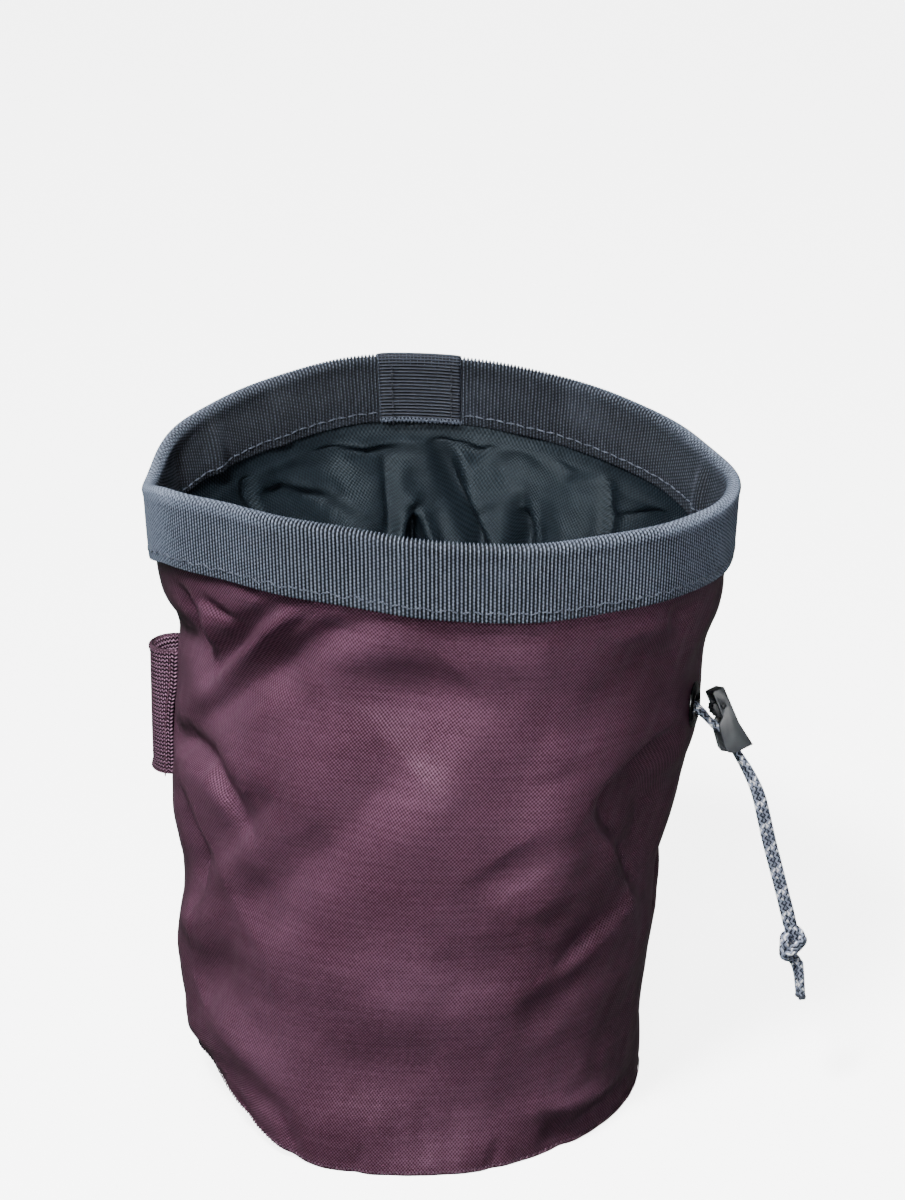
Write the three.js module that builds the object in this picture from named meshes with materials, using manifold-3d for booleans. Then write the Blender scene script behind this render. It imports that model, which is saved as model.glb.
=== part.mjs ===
// A climbing chalk bag that stands on its base: a nylon wall with folds, a webbing band round the mouth,
// a gathered collar inside it, a knitted brush loop, a belt loop and a drawcord with its cord lock.
// Millimetres, +Z up. The front faces -Y and the right side +X. The origin is the middle of the base's
// underside, on the floor. Angles are in degrees round the upright axis, 0 at +X and 90 at the back.

import * as THREE from "three";
import { mergeVertices } from "three/addons/utils/BufferGeometryUtils.js";
import Module from "manifold-3d";

const wasm = await Module();
wasm.setup();

// Driving dimensions of the bag
const BAG_HEIGHT = 158; // floor to the mean height of the rim
const RIM_RADIUS = 68; // outside of the band at the rim
const BASE_RADIUS = 55.5; // outside of the wall at the floor
const TOP_SHIFT = 8; // the mouth's middle stands this far right of the base's
const GAP = 0.3; // between two pieces that touch
const CLOTH = 1.1; // wall
const BASE_CLOTH = 1.2; // base panel
const WEBBING = 1; // band and belt loop
const LINING_CLOTH = 1; // collar
const ELASTIC = 1.2; // brush loop
const BAND_HEIGHT = 17.6; // rim to the band's lower edge, on both faces
const FOLD_DEPTH = 4; // what a fold of depth 1 stands out or in
const FOLD_WIDTH = 14; // half width of a fold of width 1
const CORNER_LIFT = 12; // the base's front left edge curls up this far
const CORNER_PULL = 3.5; // and is drawn in this far
const CORNER_ANGLE = -155;
const CORNER_SPREAD = 48; // half the angle that curls
const COLLAR_DROP = 46; // band's lower edge to the collar's hem
const COLLAR_RADIUS = 42; // mean radius of the hem
const COLLAR_TUCK = 9; // the collar's top edge reaches this far up into the band
const GATHER_DEPTH = 7; // what a gather of depth 1 draws in at the hem

// Driving dimensions of the loops
const BELT_LOOP_ANGLE = 95;
const BELT_LOOP_WIDTH = 21;
const BELT_LOOP_END = 88; // height of its sewn lower end
const BELT_LOOP_STANDOFF = 8; // room for the belt
const BELT_LOOP_SEAM = 10; // length sewn flat on the wall
const BRUSH_LOOP_ANGLE = 172;
const BRUSH_LOOP_TOP = 109;
const BRUSH_LOOP_HEIGHT = 35;
const BRUSH_LOOP_BASE = 14; // between its two sewn edges
const BRUSH_LOOP_REACH = 8; // from the wall to its outer face

// Driving dimensions of the eyelet
const EYELET_ANGLE = -15;
const EYELET_HEIGHT = 101;
const EYELET_RADIUS = 5.4;
const EYELET_HOLE = 2.6; // radius
const EYELET_WALL = 0.6; // barrel
const EYELET_FLANGE = 0.9;
const EYELET_WASHER = 4.8; // radius of the flange inside the bag
const EYELET_SEAT = 6; // flat cloth past the flange

// Driving dimensions of the cord and its lock
const CORD_DIAMETER = 1.9;
const KNOT_LENGTH = 8.6;
const KNOT_RADIUS = 3;
const LOCK_LENGTH = 15;
const LOCK_CHANNEL = 4.6; // between the cheeks
const LOCK_CHEEK = 0.9; // thickness of a cheek
const LOCK_SPINE = 0.9; // thickness of the spine
const LOCK_END_WALL = 1;
const LOCK_TOP_DEPTH = 3; // depth of the cheeks beside the cam
const LOCK_MOUTH_DEPTH = 5.4; // depth of the cheeks beside the cord
const LOCK_HEEL = 1; // the spine's lower end swells outwards
const CAM_PLACE = 4; // pivot below the lock's upper end
const CAM_DEPTH = 1.9; // pivot from the spine's outer face
const CAM_NOSE = 2.8; // pivot to the nose
const PIN_RADIUS = 0.4;
const PIN_PLAY = 0.25;

// How finely the cloth is divided
const COLUMNS = 60;
const CORD_SIDES = 8;

// Upright sections of the wall. height is a share of BAG_HEIGHT, flare goes from BASE_RADIUS to the
// wall's radius at the rim, and lean is a share of TOP_SHIFT.
const SECTIONS = [
  { height: 0, flare: 0, lean: 0 },
  { height: 0.13, flare: 0, lean: 0.12 },
  { height: 0.24, flare: 0.09, lean: 0.22 },
  { height: 0.34, flare: 0.13, lean: 0.44 },
  { height: 0.44, flare: 0.27, lean: 0.49 },
  { height: 0.57, flare: 0.45, lean: 0.64 },
  { height: 0.665, flare: 0.47, lean: 0.85 },
  { height: 0.76, flare: 0.54, lean: 1.05 },
  { height: 0.83, flare: 0.79, lean: 1 },
  { height: 0.89, flare: 0.91, lean: 1 },
  { height: 1, flare: 1, lean: 1 },
];

// The rim round the mouth. reach is a share of the radius there, and rise a share of BAG_HEIGHT.
const RIM = [
  { angle: -180, reach: 1, rise: -0.051 },
  { angle: -155, reach: 1, rise: -0.003 },
  { angle: -135, reach: 0.975, rise: 0.016 },
  { angle: -112, reach: 0.965, rise: 0.019 },
  { angle: -90, reach: 0.965, rise: 0.006 },
  { angle: -70, reach: 0.965, rise: -0.006 },
  { angle: -45, reach: 0.98, rise: -0.015 },
  { angle: -20, reach: 0.995, rise: -0.034 },
  { angle: 5, reach: 1, rise: -0.055 },
  { angle: 30, reach: 0.985, rise: -0.052 },
  { angle: 55, reach: 0.97, rise: -0.03 },
  { angle: 80, reach: 0.97, rise: -0.007 },
  { angle: 105, reach: 0.97, rise: 0.008 },
  { angle: 130, reach: 0.975, rise: -0.009 },
  { angle: 155, reach: 0.99, rise: -0.027 },
];

// Folds of the wall, each from one place to another: angles, shares of BAG_HEIGHT, and shares of
// FOLD_WIDTH and FOLD_DEPTH. A valley has a negative depth.
const FOLDS = [
  { name: "left tuck", from: [-178, 0.79], to: [-152, 0.77], width: 0.45, depth: -0.9 },
  { name: "upper left valley", from: [-124, 0.86], to: [-149, 0.75], width: 0.35, depth: -0.5 },
  { name: "long left valley", from: [-106, 0.85], to: [-140, 0.76], width: 0.42, depth: -0.65 },
  { name: "left ridge", from: [-115, 0.87], to: [-144, 0.765], width: 0.3, depth: 0.4 },
  { name: "broad left ridge", from: [-108, 0.8], to: [-144, 0.66], width: 0.8, depth: 0.5 },
  { name: "diagonal valley", from: [-88, 0.81], to: [-104, 0.7], width: 0.9, depth: -0.6 },
  { name: "diagonal valley foot", from: [-104, 0.7], to: [-125, 0.46], width: 1, depth: -0.6 },
  { name: "diagonal ridge", from: [-84, 0.7], to: [-130, 0.43], width: 0.8, depth: 0.4 },
  { name: "left crease", from: [-158, 0.64], to: [-137, 0.53], width: 0.45, depth: -0.7 },
  { name: "left hollow", from: [-150, 0.47], to: [-164, 0.33], width: 0.6, depth: -0.8 },
  { name: "right hollow", from: [-41, 0.61], to: [-38, 0.46], width: 1, depth: -0.95 },
  { name: "right ridge", from: [-62, 0.64], to: [-60, 0.4], width: 0.75, depth: 0.5 },
  { name: "right crease", from: [-38, 0.39], to: [-56, 0.32], width: 0.5, depth: -0.5 },
  { name: "front dimple", from: [-72, 0.53], to: [-66, 0.47], width: 0.8, depth: -0.4 },
  { name: "low left ridge", from: [-98, 0.31], to: [-118, 0.2], width: 0.9, depth: 0.4 },
  { name: "low left valley", from: [-128, 0.3], to: [-147, 0.16], width: 0.8, depth: -0.35 },
  { name: "low right fold", from: [-54, 0.09], to: [-30, 0.05], width: 0.5, depth: -0.5 },
  { name: "back right valley", from: [60, 0.72], to: [22, 0.45], width: 1, depth: -0.6 },
  { name: "back right ridge", from: [74, 0.4], to: [36, 0.24], width: 0.9, depth: 0.4 },
  { name: "back left valley", from: [128, 0.74], to: [152, 0.34], width: 0.9, depth: -0.6 },
  { name: "back foot valley", from: [112, 0.34], to: [82, 0.16], width: 0.9, depth: -0.5 },
];

// How the collar runs from the band to its hem: drop is a share of COLLAR_DROP, open goes from the hem's
// radius to the band's, and gather is a share of the gathers' depth.
const COLLAR = [
  { drop: 0, open: 1, gather: 0 },
  { drop: 0.12, open: 0.9, gather: 0.12 },
  { drop: 0.3, open: 0.68, gather: 0.4 },
  { drop: 0.55, open: 0.38, gather: 0.8 },
  { drop: 0.8, open: 0.12, gather: 1 },
  { drop: 1, open: 0, gather: 1 },
];

// Gathers of the collar: angle at the hem, slant from there to the band, half width in degrees and a share
// of GATHER_DEPTH. A swell has a negative depth.
const GATHERS = [
  { angle: -168, slant: 6, width: 9, depth: 0.9 },
  { angle: -138, slant: -5, width: 10, depth: 0.7 },
  { angle: -104, slant: 4, width: 9, depth: 1 },
  { angle: -72, slant: 8, width: 10, depth: 0.8 },
  { angle: -40, slant: -6, width: 9, depth: 0.9 },
  { angle: -8, slant: 5, width: 10, depth: 0.8 },
  { angle: 20, slant: -6, width: 8, depth: 0.7 },
  { angle: 46, slant: -5, width: 8, depth: 0.9 },
  { angle: 72, slant: 9, width: 8, depth: 1.1 },
  { angle: 99, slant: -3, width: 7, depth: 0.8 },
  { angle: 124, slant: 4, width: 8, depth: 0.9 },
  { angle: 154, slant: -4, width: 10, depth: 0.8 },
];

// The belt loop past the band: along is a share of its free length, and out of BELT_LOOP_STANDOFF.
const BELT_LOOP_RUN = [
  { along: 0.15, out: 0.45 },
  { along: 0.35, out: 0.85 },
  { along: 0.6, out: 1 },
  { along: 0.82, out: 0.6 },
  { along: 1, out: 0 },
];

// The middle line of the doubled drawcord from inside the eyelet to the knot, chosen by hand. side is the
// way from the middle to strand a.
const CORD_LINE = [
  { at: [60.8, -14.3, 100.9], side: [0.26, 0.97, 0] },
  { at: [65.4, -15.5, 100.7], side: [0.26, 0.97, 0] },
  { at: [67.6, -17.1, 99.8], side: [0.1, 0.98, -0.1] },
  { at: [69.6, -18.6, 98.1], side: [-0.1, 0.95, -0.25] },
  { at: [71.4, -19, 96.5], side: [-0.22, 0.92, -0.33] },
  { at: [73.6, -19.1, 94.6], side: [-0.22, 0.92, -0.33] },
  { at: [75.8, -20, 90.9], side: [-0.22, 0.92, -0.33] },
  { at: [78.5, -20.7, 86.4], side: [-0.55, 0.78, -0.3] },
  { at: [80.9, -21, 81], side: [-0.85, 0.5, -0.15] },
  { at: [82.5, -21, 74.7], side: [-0.97, 0.2, -0.1] },
  { at: [83.9, -21, 68.6], side: [-0.96, -0.2, -0.1] },
  { at: [85.5, -21, 62.6], side: [-0.97, 0.1, -0.1] },
  { at: [87.1, -21, 56.4], side: [-0.95, 0.3, -0.1] },
  { at: [88.5, -21, 51], side: [-0.97, 0.1, -0.1] },
  { at: [89.4, -21, 47.2], side: [-0.97, 0, -0.1] },
];
const KNOT_TOP = new THREE.Vector3(89.5, -21, 46.6);
const TAIL_LINE = [
  { at: [91.2, -21, 37.4], side: [-0.97, 0.1, -0.1] },
  { at: [91.9, -21, 34], side: [-0.9, 0.4, -0.1] },
  { at: [92.5, -21.2, 28.4], side: [-0.97, 0.2, -0.1] },
];

// The lock hangs on the cord: its upper end, its length and the way from its near cheek to its far one.
const LOCK_TOP = new THREE.Vector3(71.9, -15.7, 105.5);
const LOCK_DOWN = new THREE.Vector3(0.396, -0.225, -0.891).normalize();
const LOCK_ACROSS = new THREE.Vector3(-0.22, 0.92, -0.33).normalize();

// What follows from them
const wallTop = RIM_RADIUS - WEBBING - GAP;
const bandShare = 1 - BAND_HEIGHT / BAG_HEIGHT;
const bandThickness = 2 * WEBBING + 3 * GAP + CLOTH + LINING_CLOTH;
const shoulderShare = 1 - bandThickness / 2 / BAG_HEIGHT;
const meanRadius = (BASE_RADIUS + RIM_RADIUS) / 2;
const strandOffset = (CORD_DIAMETER + GAP) / 2;
const columnStep = 360 / COLUMNS;
const columnAngles = Array.from({ length: COLUMNS }, (_, i) => EYELET_ANGLE + i * columnStep);
const { degToRad, lerp, smoothstep } = THREE.MathUtils;

// One column of a table, read smoothly at a place between its rows
function readTable(rows, place, column, at) {
  const last = rows.length - 1;
  const x = Math.min(Math.max(at, rows[0][place]), rows[last][place]);
  let i = 0;
  while (i < last - 1 && x > rows[i + 1][place]) i += 1;
  const before = rows[Math.max(i - 1, 0)];
  const start = rows[i];
  const end = rows[i + 1];
  const after = rows[Math.min(i + 2, last)];
  const span = end[place] - start[place];
  const t = (x - start[place]) / span;
  const leave = (span * (end[column] - before[column])) / (end[place] - before[place]);
  const arrive = (span * (after[column] - start[column])) / (after[place] - start[place]);
  const rest = 1 - t;
  return (
    rest * rest * ((1 + 2 * t) * start[column] + t * leave) +
    t * t * ((1 + 2 * rest) * end[column] - rest * arrive)
  );
}

// An angle brought between -180 and 180
function wrapAngle(angle) {
  return ((((angle + 180) % 360) + 360) % 360) - 180;
}

const rimRound = [
  ...RIM.slice(-2).map((row) => ({ ...row, angle: row.angle - 360 })),
  ...RIM,
  ...RIM.slice(0, 2).map((row) => ({ ...row, angle: row.angle + 360 })),
];

function readRim(column, angle) {
  return readTable(rimRound, "angle", column, wrapAngle(angle));
}

// How far the curled corner of the base reaches at a place of the wall, from 0 to 1
function cornerCurl(angle) {
  const away = Math.abs(wrapAngle(angle - CORNER_ANGLE));
  return 1 - smoothstep(away, 0, CORNER_SPREAD);
}

// Distance on the unrolled wall from a place to the line of a fold, as a share of its width
function foldDistance(fold, angle, share) {
  const arc = degToRad(1) * meanRadius;
  const [fromAngle, fromShare] = fold.from;
  const along = new THREE.Vector2(
    (fold.to[0] - fromAngle) * arc,
    (fold.to[1] - fromShare) * BAG_HEIGHT,
  );
  const place = new THREE.Vector2(
    wrapAngle(angle - fromAngle) * arc,
    (share - fromShare) * BAG_HEIGHT,
  );
  const t = THREE.MathUtils.clamp(place.dot(along) / along.lengthSq(), 0, 1);
  return place.sub(along.multiplyScalar(t)).length() / (fold.width * FOLD_WIDTH);
}

// What the folds add to the wall's radius. They end at the band and at the base.
function foldDepth(angle, share) {
  let depth = 0;
  for (const fold of FOLDS) {
    depth += fold.depth * FOLD_DEPTH * Math.exp(-(foldDistance(fold, angle, share) ** 2));
  }
  return depth * smoothstep(share, 0, 0.06) * (1 - smoothstep(share, 0.84, 0.875));
}

function wallHeight(angle, share) {
  const rise = readRim("rise", angle) * smoothstep(share, 0, 0.85);
  const curl = CORNER_LIFT * cornerCurl(angle) * (1 - smoothstep(share, 0, 0.16));
  return (share + rise) * BAG_HEIGHT + curl;
}

function plainRadius(angle, share) {
  const flare = readTable(SECTIONS, "height", "flare", share);
  const reach = lerp(1, readRim("reach", angle), smoothstep(share, 0.3, 1));
  const pull = CORNER_PULL * cornerCurl(angle) * (1 - smoothstep(share, 0, 0.16));
  return lerp(BASE_RADIUS, wallTop, flare) * reach - pull;
}

function middleX(share) {
  return TOP_SHIFT * readTable(SECTIONS, "height", "lean", share);
}

// The share of the bag's height at which the wall stands at a height above the floor
function shareAt(angle, height) {
  let low = 0;
  let high = 1;
  for (let i = 0; i < 30; i += 1) {
    const middle = (low + high) / 2;
    if (wallHeight(angle, middle) < height) low = middle;
    else high = middle;
  }
  return (low + high) / 2;
}

function polar(angle, radius, share, height) {
  const turn = degToRad(angle);
  return new THREE.Vector3(middleX(share) + radius * Math.cos(turn), radius * Math.sin(turn), height);
}

// The eyelet sits on a flat patch of the wall, square to the wall's radius
const eyeletShare = shareAt(EYELET_ANGLE, EYELET_HEIGHT);
const eyeletRadius = plainRadius(EYELET_ANGLE, eyeletShare);
const eyeletPlace = polar(EYELET_ANGLE, eyeletRadius, eyeletShare, EYELET_HEIGHT);
const eyeletNormal = new THREE.Vector3(Math.cos(degToRad(EYELET_ANGLE)), Math.sin(degToRad(EYELET_ANGLE)), 0);
const eyeletFlat = EYELET_RADIUS + EYELET_SEAT;

// A point of the wall's outer face, or of a face further in
function wallPoint(angle, share, inward = 0) {
  const height = wallHeight(angle, share);
  const free = plainRadius(angle, share) + foldDepth(angle, share) - inward;
  const point = polar(angle, free, share, height);
  const away = Math.max(
    Math.abs(degToRad(wrapAngle(angle - EYELET_ANGLE))) * eyeletRadius,
    Math.abs(height - EYELET_HEIGHT),
  );
  const flat = 1 - smoothstep(away, eyeletFlat, 2 * eyeletFlat);
  const ahead = point.clone().sub(eyeletPlace).dot(eyeletNormal) + inward;
  return point.addScaledVector(eyeletNormal, -ahead * flat);
}

// One closed body from its vertices and triangles, with its faces turned outwards
function bodyGeometry(vertices, triangles) {
  const volume = triangles.reduce(
    (sum, [a, b, c]) => sum + vertices[a].dot(vertices[b].clone().cross(vertices[c])),
    0,
  );
  const faces = volume < 0 ? triangles.map(([a, b, c]) => [a, c, b]) : triangles;
  const geometry = new THREE.BufferGeometry().setFromPoints(vertices);
  geometry.setIndex(faces.flat());
  geometry.computeVertexNormals();
  return geometry;
}

// A ring round the bag: one closed outline of the same number of points at each angle
function ringGeometry(outlines) {
  const size = outlines[0].length;
  const count = outlines.length;
  const triangles = [];
  for (let i = 0; i < count; i += 1) {
    for (let j = 0; j < size; j += 1) {
      const a = i * size + j;
      const b = i * size + ((j + 1) % size);
      const c = ((i + 1) % count) * size + ((j + 1) % size);
      const d = ((i + 1) % count) * size + j;
      triangles.push([a, b, c], [a, c, d]);
    }
  }
  return bodyGeometry(outlines.flat(), triangles);
}

// A sheet of cloth: two faces of the same rows and columns, closed along their edges
function sheetGeometry(front, back) {
  const rows = front.length;
  const columns = front[0].length;
  const size = rows * columns;
  const triangles = [];
  const quad = (a, b, c, d) => triangles.push([a, b, c], [a, c, d]);
  for (let i = 0; i < rows - 1; i += 1) {
    for (let j = 0; j < columns - 1; j += 1) {
      const a = i * columns + j;
      quad(a, a + 1, a + columns + 1, a + columns);
      quad(size + a, size + a + columns, size + a + columns + 1, size + a + 1);
    }
  }
  for (let j = 0; j < columns - 1; j += 1) {
    const last = (rows - 1) * columns + j;
    quad(j + 1, j, size + j, size + j + 1);
    quad(last, last + 1, size + last + 1, size + last);
  }
  for (let i = 0; i < rows - 1; i += 1) {
    const first = i * columns;
    const end = first + columns - 1;
    quad(first, first + columns, size + first + columns, size + first);
    quad(end + columns, end, size + end, size + end + columns);
  }
  return bodyGeometry([...front.flat(), ...back.flat()], triangles);
}

// A line's points moved sideways by a thickness, in the plane of radius and height
function offsetLine(points, thickness) {
  return points.map((point, i) => {
    const before = points[Math.max(i - 1, 0)];
    const after = points[Math.min(i + 1, points.length - 1)];
    const way = after.clone().sub(before).normalize();
    const moved = new THREE.Vector2(-way.y, way.x).multiplyScalar(thickness);
    return point.clone().add(moved);
  });
}

// A geometry as a solid for cutting, and a solid back as a geometry
function solidOf(geometry) {
  const bare = geometry.clone();
  bare.deleteAttribute("normal");
  bare.deleteAttribute("uv");
  const merged = mergeVertices(bare, 1e-4);
  const vertProperties = new Float32Array(merged.attributes.position.array);
  const triVerts = new Uint32Array(merged.index.array);
  return new wasm.Manifold(new wasm.Mesh({ numProp: 3, vertProperties, triVerts }));
}

function geometryOf(solid) {
  const mesh = solid.getMesh();
  const geometry = new THREE.BufferGeometry();
  geometry.setAttribute("position", new THREE.BufferAttribute(mesh.vertProperties, mesh.numProp));
  geometry.setIndex(new THREE.BufferAttribute(mesh.triVerts, 1));
  geometry.computeVertexNormals();
  return geometry;
}

// A closed outline of [x, y] corners
function outlineOf(corners) {
  return new THREE.Shape(corners.map(([x, y]) => new THREE.Vector2(x, y)));
}

// An outline extruded along Z, its middle at zero
function plate(outline, thickness) {
  const geometry = new THREE.ExtrudeGeometry(outline, { depth: thickness, bevelEnabled: false });
  return geometry.translate(0, 0, -thickness / 2);
}

// A cylinder along Z, its middle at zero
function rod(radius, length, sides) {
  return new THREE.CylinderGeometry(radius, radius, length, sides).rotateX(Math.PI / 2);
}

// A frame whose Z axis points along a direction
function facing(direction, place) {
  const turn = new THREE.Quaternion().setFromUnitVectors(new THREE.Vector3(0, 0, 1), direction);
  return new THREE.Matrix4().compose(place, turn, new THREE.Vector3(1, 1, 1));
}

const group = new THREE.Group();
group.name = "chalk_bag";

function addPiece(name, geometry, color, roughness, metalness = 0) {
  const material = new THREE.MeshStandardMaterial({ color, roughness, metalness });
  const mesh = new THREE.Mesh(geometry, material);
  mesh.name = name;
  group.add(mesh);
  return mesh;
}

// Wall: rows of the outer face from the floor to the band's fold, with three on the eyelet's flat patch
function wallRows() {
  const patch = eyeletFlat / BAG_HEIGHT;
  const low = eyeletShare - patch;
  const high = eyeletShare + patch;
  const top = shoulderShare - GAP / BAG_HEIGHT;
  const lower = Array.from({ length: 10 }, (_, i) => lerp(0, low, i / 10));
  const upper = Array.from({ length: 5 }, (_, i) => lerp(high, bandShare, i / 5));
  return [...lower, low, eyeletShare, ...upper, bandShare, (bandShare + top) / 2, top];
}

function shellWall() {
  const rows = wallRows();
  const outlines = columnAngles.map((angle) => [
    ...rows.map((share) => wallPoint(angle, share)),
    ...rows.toReversed().map((share) => wallPoint(angle, share, CLOTH)),
  ]);
  const hole = rod(EYELET_HOLE + EYELET_WALL + GAP, 8 * CLOTH, 16);
  hole.applyMatrix4(facing(eyeletNormal, eyeletPlace));
  return geometryOf(solidOf(ringGeometry(outlines)).subtract(solidOf(hole)));
}

// Base panel: a disc inside the wall's foot whose edge follows the wall's curled corner
function basePanel() {
  const rings = [0.55, 0.72, 0.86, 1];
  const flatPart = rings[0];
  const at = (angle, reach, up) => {
    const edge = plainRadius(angle, 0) - CLOTH - GAP;
    const curl = CORNER_LIFT * cornerCurl(angle) * smoothstep(reach, flatPart, 1);
    return polar(angle, edge * reach, 0, curl + up);
  };
  const vertices = [];
  for (const up of [0, BASE_CLOTH]) {
    for (const reach of rings) vertices.push(...columnAngles.map((angle) => at(angle, reach, up)));
  }
  const level = rings.length * COLUMNS;
  const triangles = [];
  for (let i = 0; i < COLUMNS; i += 1) {
    const next = (i + 1) % COLUMNS;
    for (let ring = 0; ring < rings.length - 1; ring += 1) {
      const a = ring * COLUMNS + i;
      const b = ring * COLUMNS + next;
      triangles.push([a, b, b + COLUMNS], [a, b + COLUMNS, a + COLUMNS]);
      triangles.push([level + a, level + b + COLUMNS, level + b]);
      triangles.push([level + a, level + a + COLUMNS, level + b + COLUMNS]);
    }
    const edge = (rings.length - 1) * COLUMNS;
    triangles.push([edge + i, edge + next, level + edge + next]);
    triangles.push([edge + i, level + edge + next, level + edge + i]);
  }
  // The flat middle is a fan about a point beside the origin, so that the origin lies within a face
  const middle = new THREE.Vector3(BASE_RADIUS / 12, BASE_RADIUS / 16, 0);
  const foot = vertices.push(middle) - 1;
  const head = vertices.push(middle.clone().setZ(BASE_CLOTH)) - 1;
  for (let i = 0; i < COLUMNS; i += 1) {
    const next = (i + 1) % COLUMNS;
    triangles.push([foot, next, i], [head, level + i, level + next]);
  }
  return bodyGeometry(vertices, triangles);
}

// Rim band: webbing folded over the mouth, with a slot that holds the wall and the collar
function rimBand() {
  const outer = GAP + WEBBING;
  const half = bandThickness / 2;
  const middleShare = (bandShare + shoulderShare) / 2;
  const outlines = columnAngles.map((angle) => {
    const face = (share, out) => wallPoint(angle, share, -out);
    const crown = (reach, turn) => {
      const point = face(shoulderShare, outer - half + reach * Math.cos(degToRad(turn)));
      return point.setZ(point.z + reach * Math.sin(degToRad(turn)));
    };
    return [
      face(bandShare, outer),
      face(middleShare, outer),
      face(shoulderShare, outer),
      crown(half, 45),
      crown(half, 90),
      crown(half, 135),
      face(shoulderShare, outer - 2 * half),
      face(middleShare, outer - 2 * half),
      face(bandShare, outer - 2 * half),
      face(bandShare, outer - 2 * half + WEBBING),
      face(shoulderShare, outer - 2 * half + WEBBING),
      crown(half - WEBBING, 90),
      face(shoulderShare, outer - WEBBING),
      face(bandShare, outer - WEBBING),
    ];
  });
  return ringGeometry(outlines);
}

// Depth of the gathers at an angle, for a row of the collar
function gatherDepth(angle, drop) {
  let depth = 0;
  for (const gather of GATHERS) {
    const away = wrapAngle(angle - gather.angle - gather.slant * (1 - drop)) / gather.width;
    depth += gather.depth * GATHER_DEPTH * Math.exp(-away * away);
  }
  return depth;
}

// Collar: from the band's slot down and inwards to a gathered hem
function liningCollar() {
  const tuckShare = bandShare + COLLAR_TUCK / BAG_HEIGHT;
  const clear = GAP + LINING_CLOTH;
  const outlines = columnAngles.map((angle) => {
    const held = plainRadius(angle, bandShare - clear / BAG_HEIGHT) - CLOTH - GAP;
    const edge = wallHeight(angle, bandShare) - clear;
    const rows = COLLAR.map(({ drop, open, gather }) => {
      const radius = lerp(COLLAR_RADIUS, held, open) - gather * gatherDepth(angle, drop);
      return new THREE.Vector2(radius, edge - drop * COLLAR_DROP);
    });
    const up = (share) => {
      return new THREE.Vector2(plainRadius(angle, share) - CLOTH - GAP, wallHeight(angle, share));
    };
    const line = [up(tuckShare), up((tuckShare + bandShare) / 2), ...rows];
    const inner = offsetLine(line, -LINING_CLOTH);
    return [...line, ...inner.toReversed()].map((p) => polar(angle, p.x, 1, p.y));
  });
  return ringGeometry(outlines);
}

// Belt loop: webbing sewn inside the band, over the rim, down the back and onto the wall
function beltLoop() {
  const half = bandThickness / 2;
  const spread = THREE.MathUtils.radToDeg(BELT_LOOP_WIDTH / 2 / wallTop);
  const angles = [-1, -0.5, 0, 0.5, 1].map((side) => BELT_LOOP_ANGLE + side * spread);
  const endShare = shareAt(BELT_LOOP_ANGLE, BELT_LOOP_END);
  const seamShare = endShare + BELT_LOOP_SEAM / BAG_HEIGHT;
  const inside = [bandShare, (bandShare + shoulderShare) / 2, shoulderShare];
  const face = (angle, share, out) => {
    return new THREE.Vector2(plainRadius(angle, share) + out, wallHeight(angle, share));
  };
  const outsideBand = 2 * GAP + WEBBING;
  const columns = angles.map((angle) => {
    const crownMiddle = face(angle, shoulderShare, GAP + WEBBING - half);
    const crown = (turn) => {
      const reach = half + GAP;
      const way = new THREE.Vector2(Math.cos(degToRad(turn)), Math.sin(degToRad(turn)));
      return crownMiddle.clone().addScaledVector(way, reach);
    };
    const shareOf = (along) => lerp(bandShare, seamShare, along);
    const run = BELT_LOOP_RUN.map(({ along, out }) => {
      const seat = lerp(outsideBand, GAP, along);
      return face(angle, shareOf(along), seat + out * BELT_LOOP_STANDOFF + foldDepth(angle, shareOf(along)));
    });
    const line = [
      ...inside.map((share) => face(angle, share, GAP + WEBBING - 2 * half - GAP)),
      ...[135, 90, 45].map(crown),
      ...inside.toReversed().map((share) => face(angle, share, outsideBand)),
      ...run,
      face(angle, (seamShare + endShare) / 2, GAP + foldDepth(angle, (seamShare + endShare) / 2)),
      face(angle, endShare, GAP + foldDepth(angle, endShare)),
    ];
    const shares = line.map((p) => THREE.MathUtils.clamp(shareAt(angle, p.y), 0, 1));
    const place = (p, i) => polar(angle, p.x, shares[i], p.y);
    return { near: line.map(place), far: offsetLine(line, WEBBING).map(place) };
  });
  return sheetGeometry(
    columns.map((column) => column.near),
    columns.map((column) => column.far),
  );
}

// Brush loop: knitted elastic that stands out of the wall between two sewn edges
function brushLoop() {
  const turns = [0, 0.08, 0.2, 0.34, 0.5, 0.66, 0.8, 0.92, 1];
  const rows = [0, 1 / 3, 2 / 3, 1].map((part) => BRUSH_LOOP_TOP - BRUSH_LOOP_HEIGHT * (1 - part));
  const middleShare = shareAt(BRUSH_LOOP_ANGLE, BRUSH_LOOP_TOP - BRUSH_LOOP_HEIGHT / 2);
  const faceOf = (thickness) => {
    return rows.map((height) => {
      const share = shareAt(BRUSH_LOOP_ANGLE, height);
      return turns.map((turn) => {
        const bend = Math.PI * turn;
        const side = -Math.cos(bend) * (BRUSH_LOOP_BASE / 2 - thickness);
        const angle = BRUSH_LOOP_ANGLE + THREE.MathUtils.radToDeg(side / BASE_RADIUS);
        const out = GAP + Math.sin(bend) ** 0.7 * (BRUSH_LOOP_REACH - GAP - thickness);
        const sewn = wallPoint(angle, share, -out).setZ(height);
        const upright = polar(angle, plainRadius(angle, middleShare) + out, middleShare, height);
        return sewn.lerp(upright, Math.sin(bend));
      });
    });
  };
  return sheetGeometry(faceOf(0), faceOf(ELASTIC));
}

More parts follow.
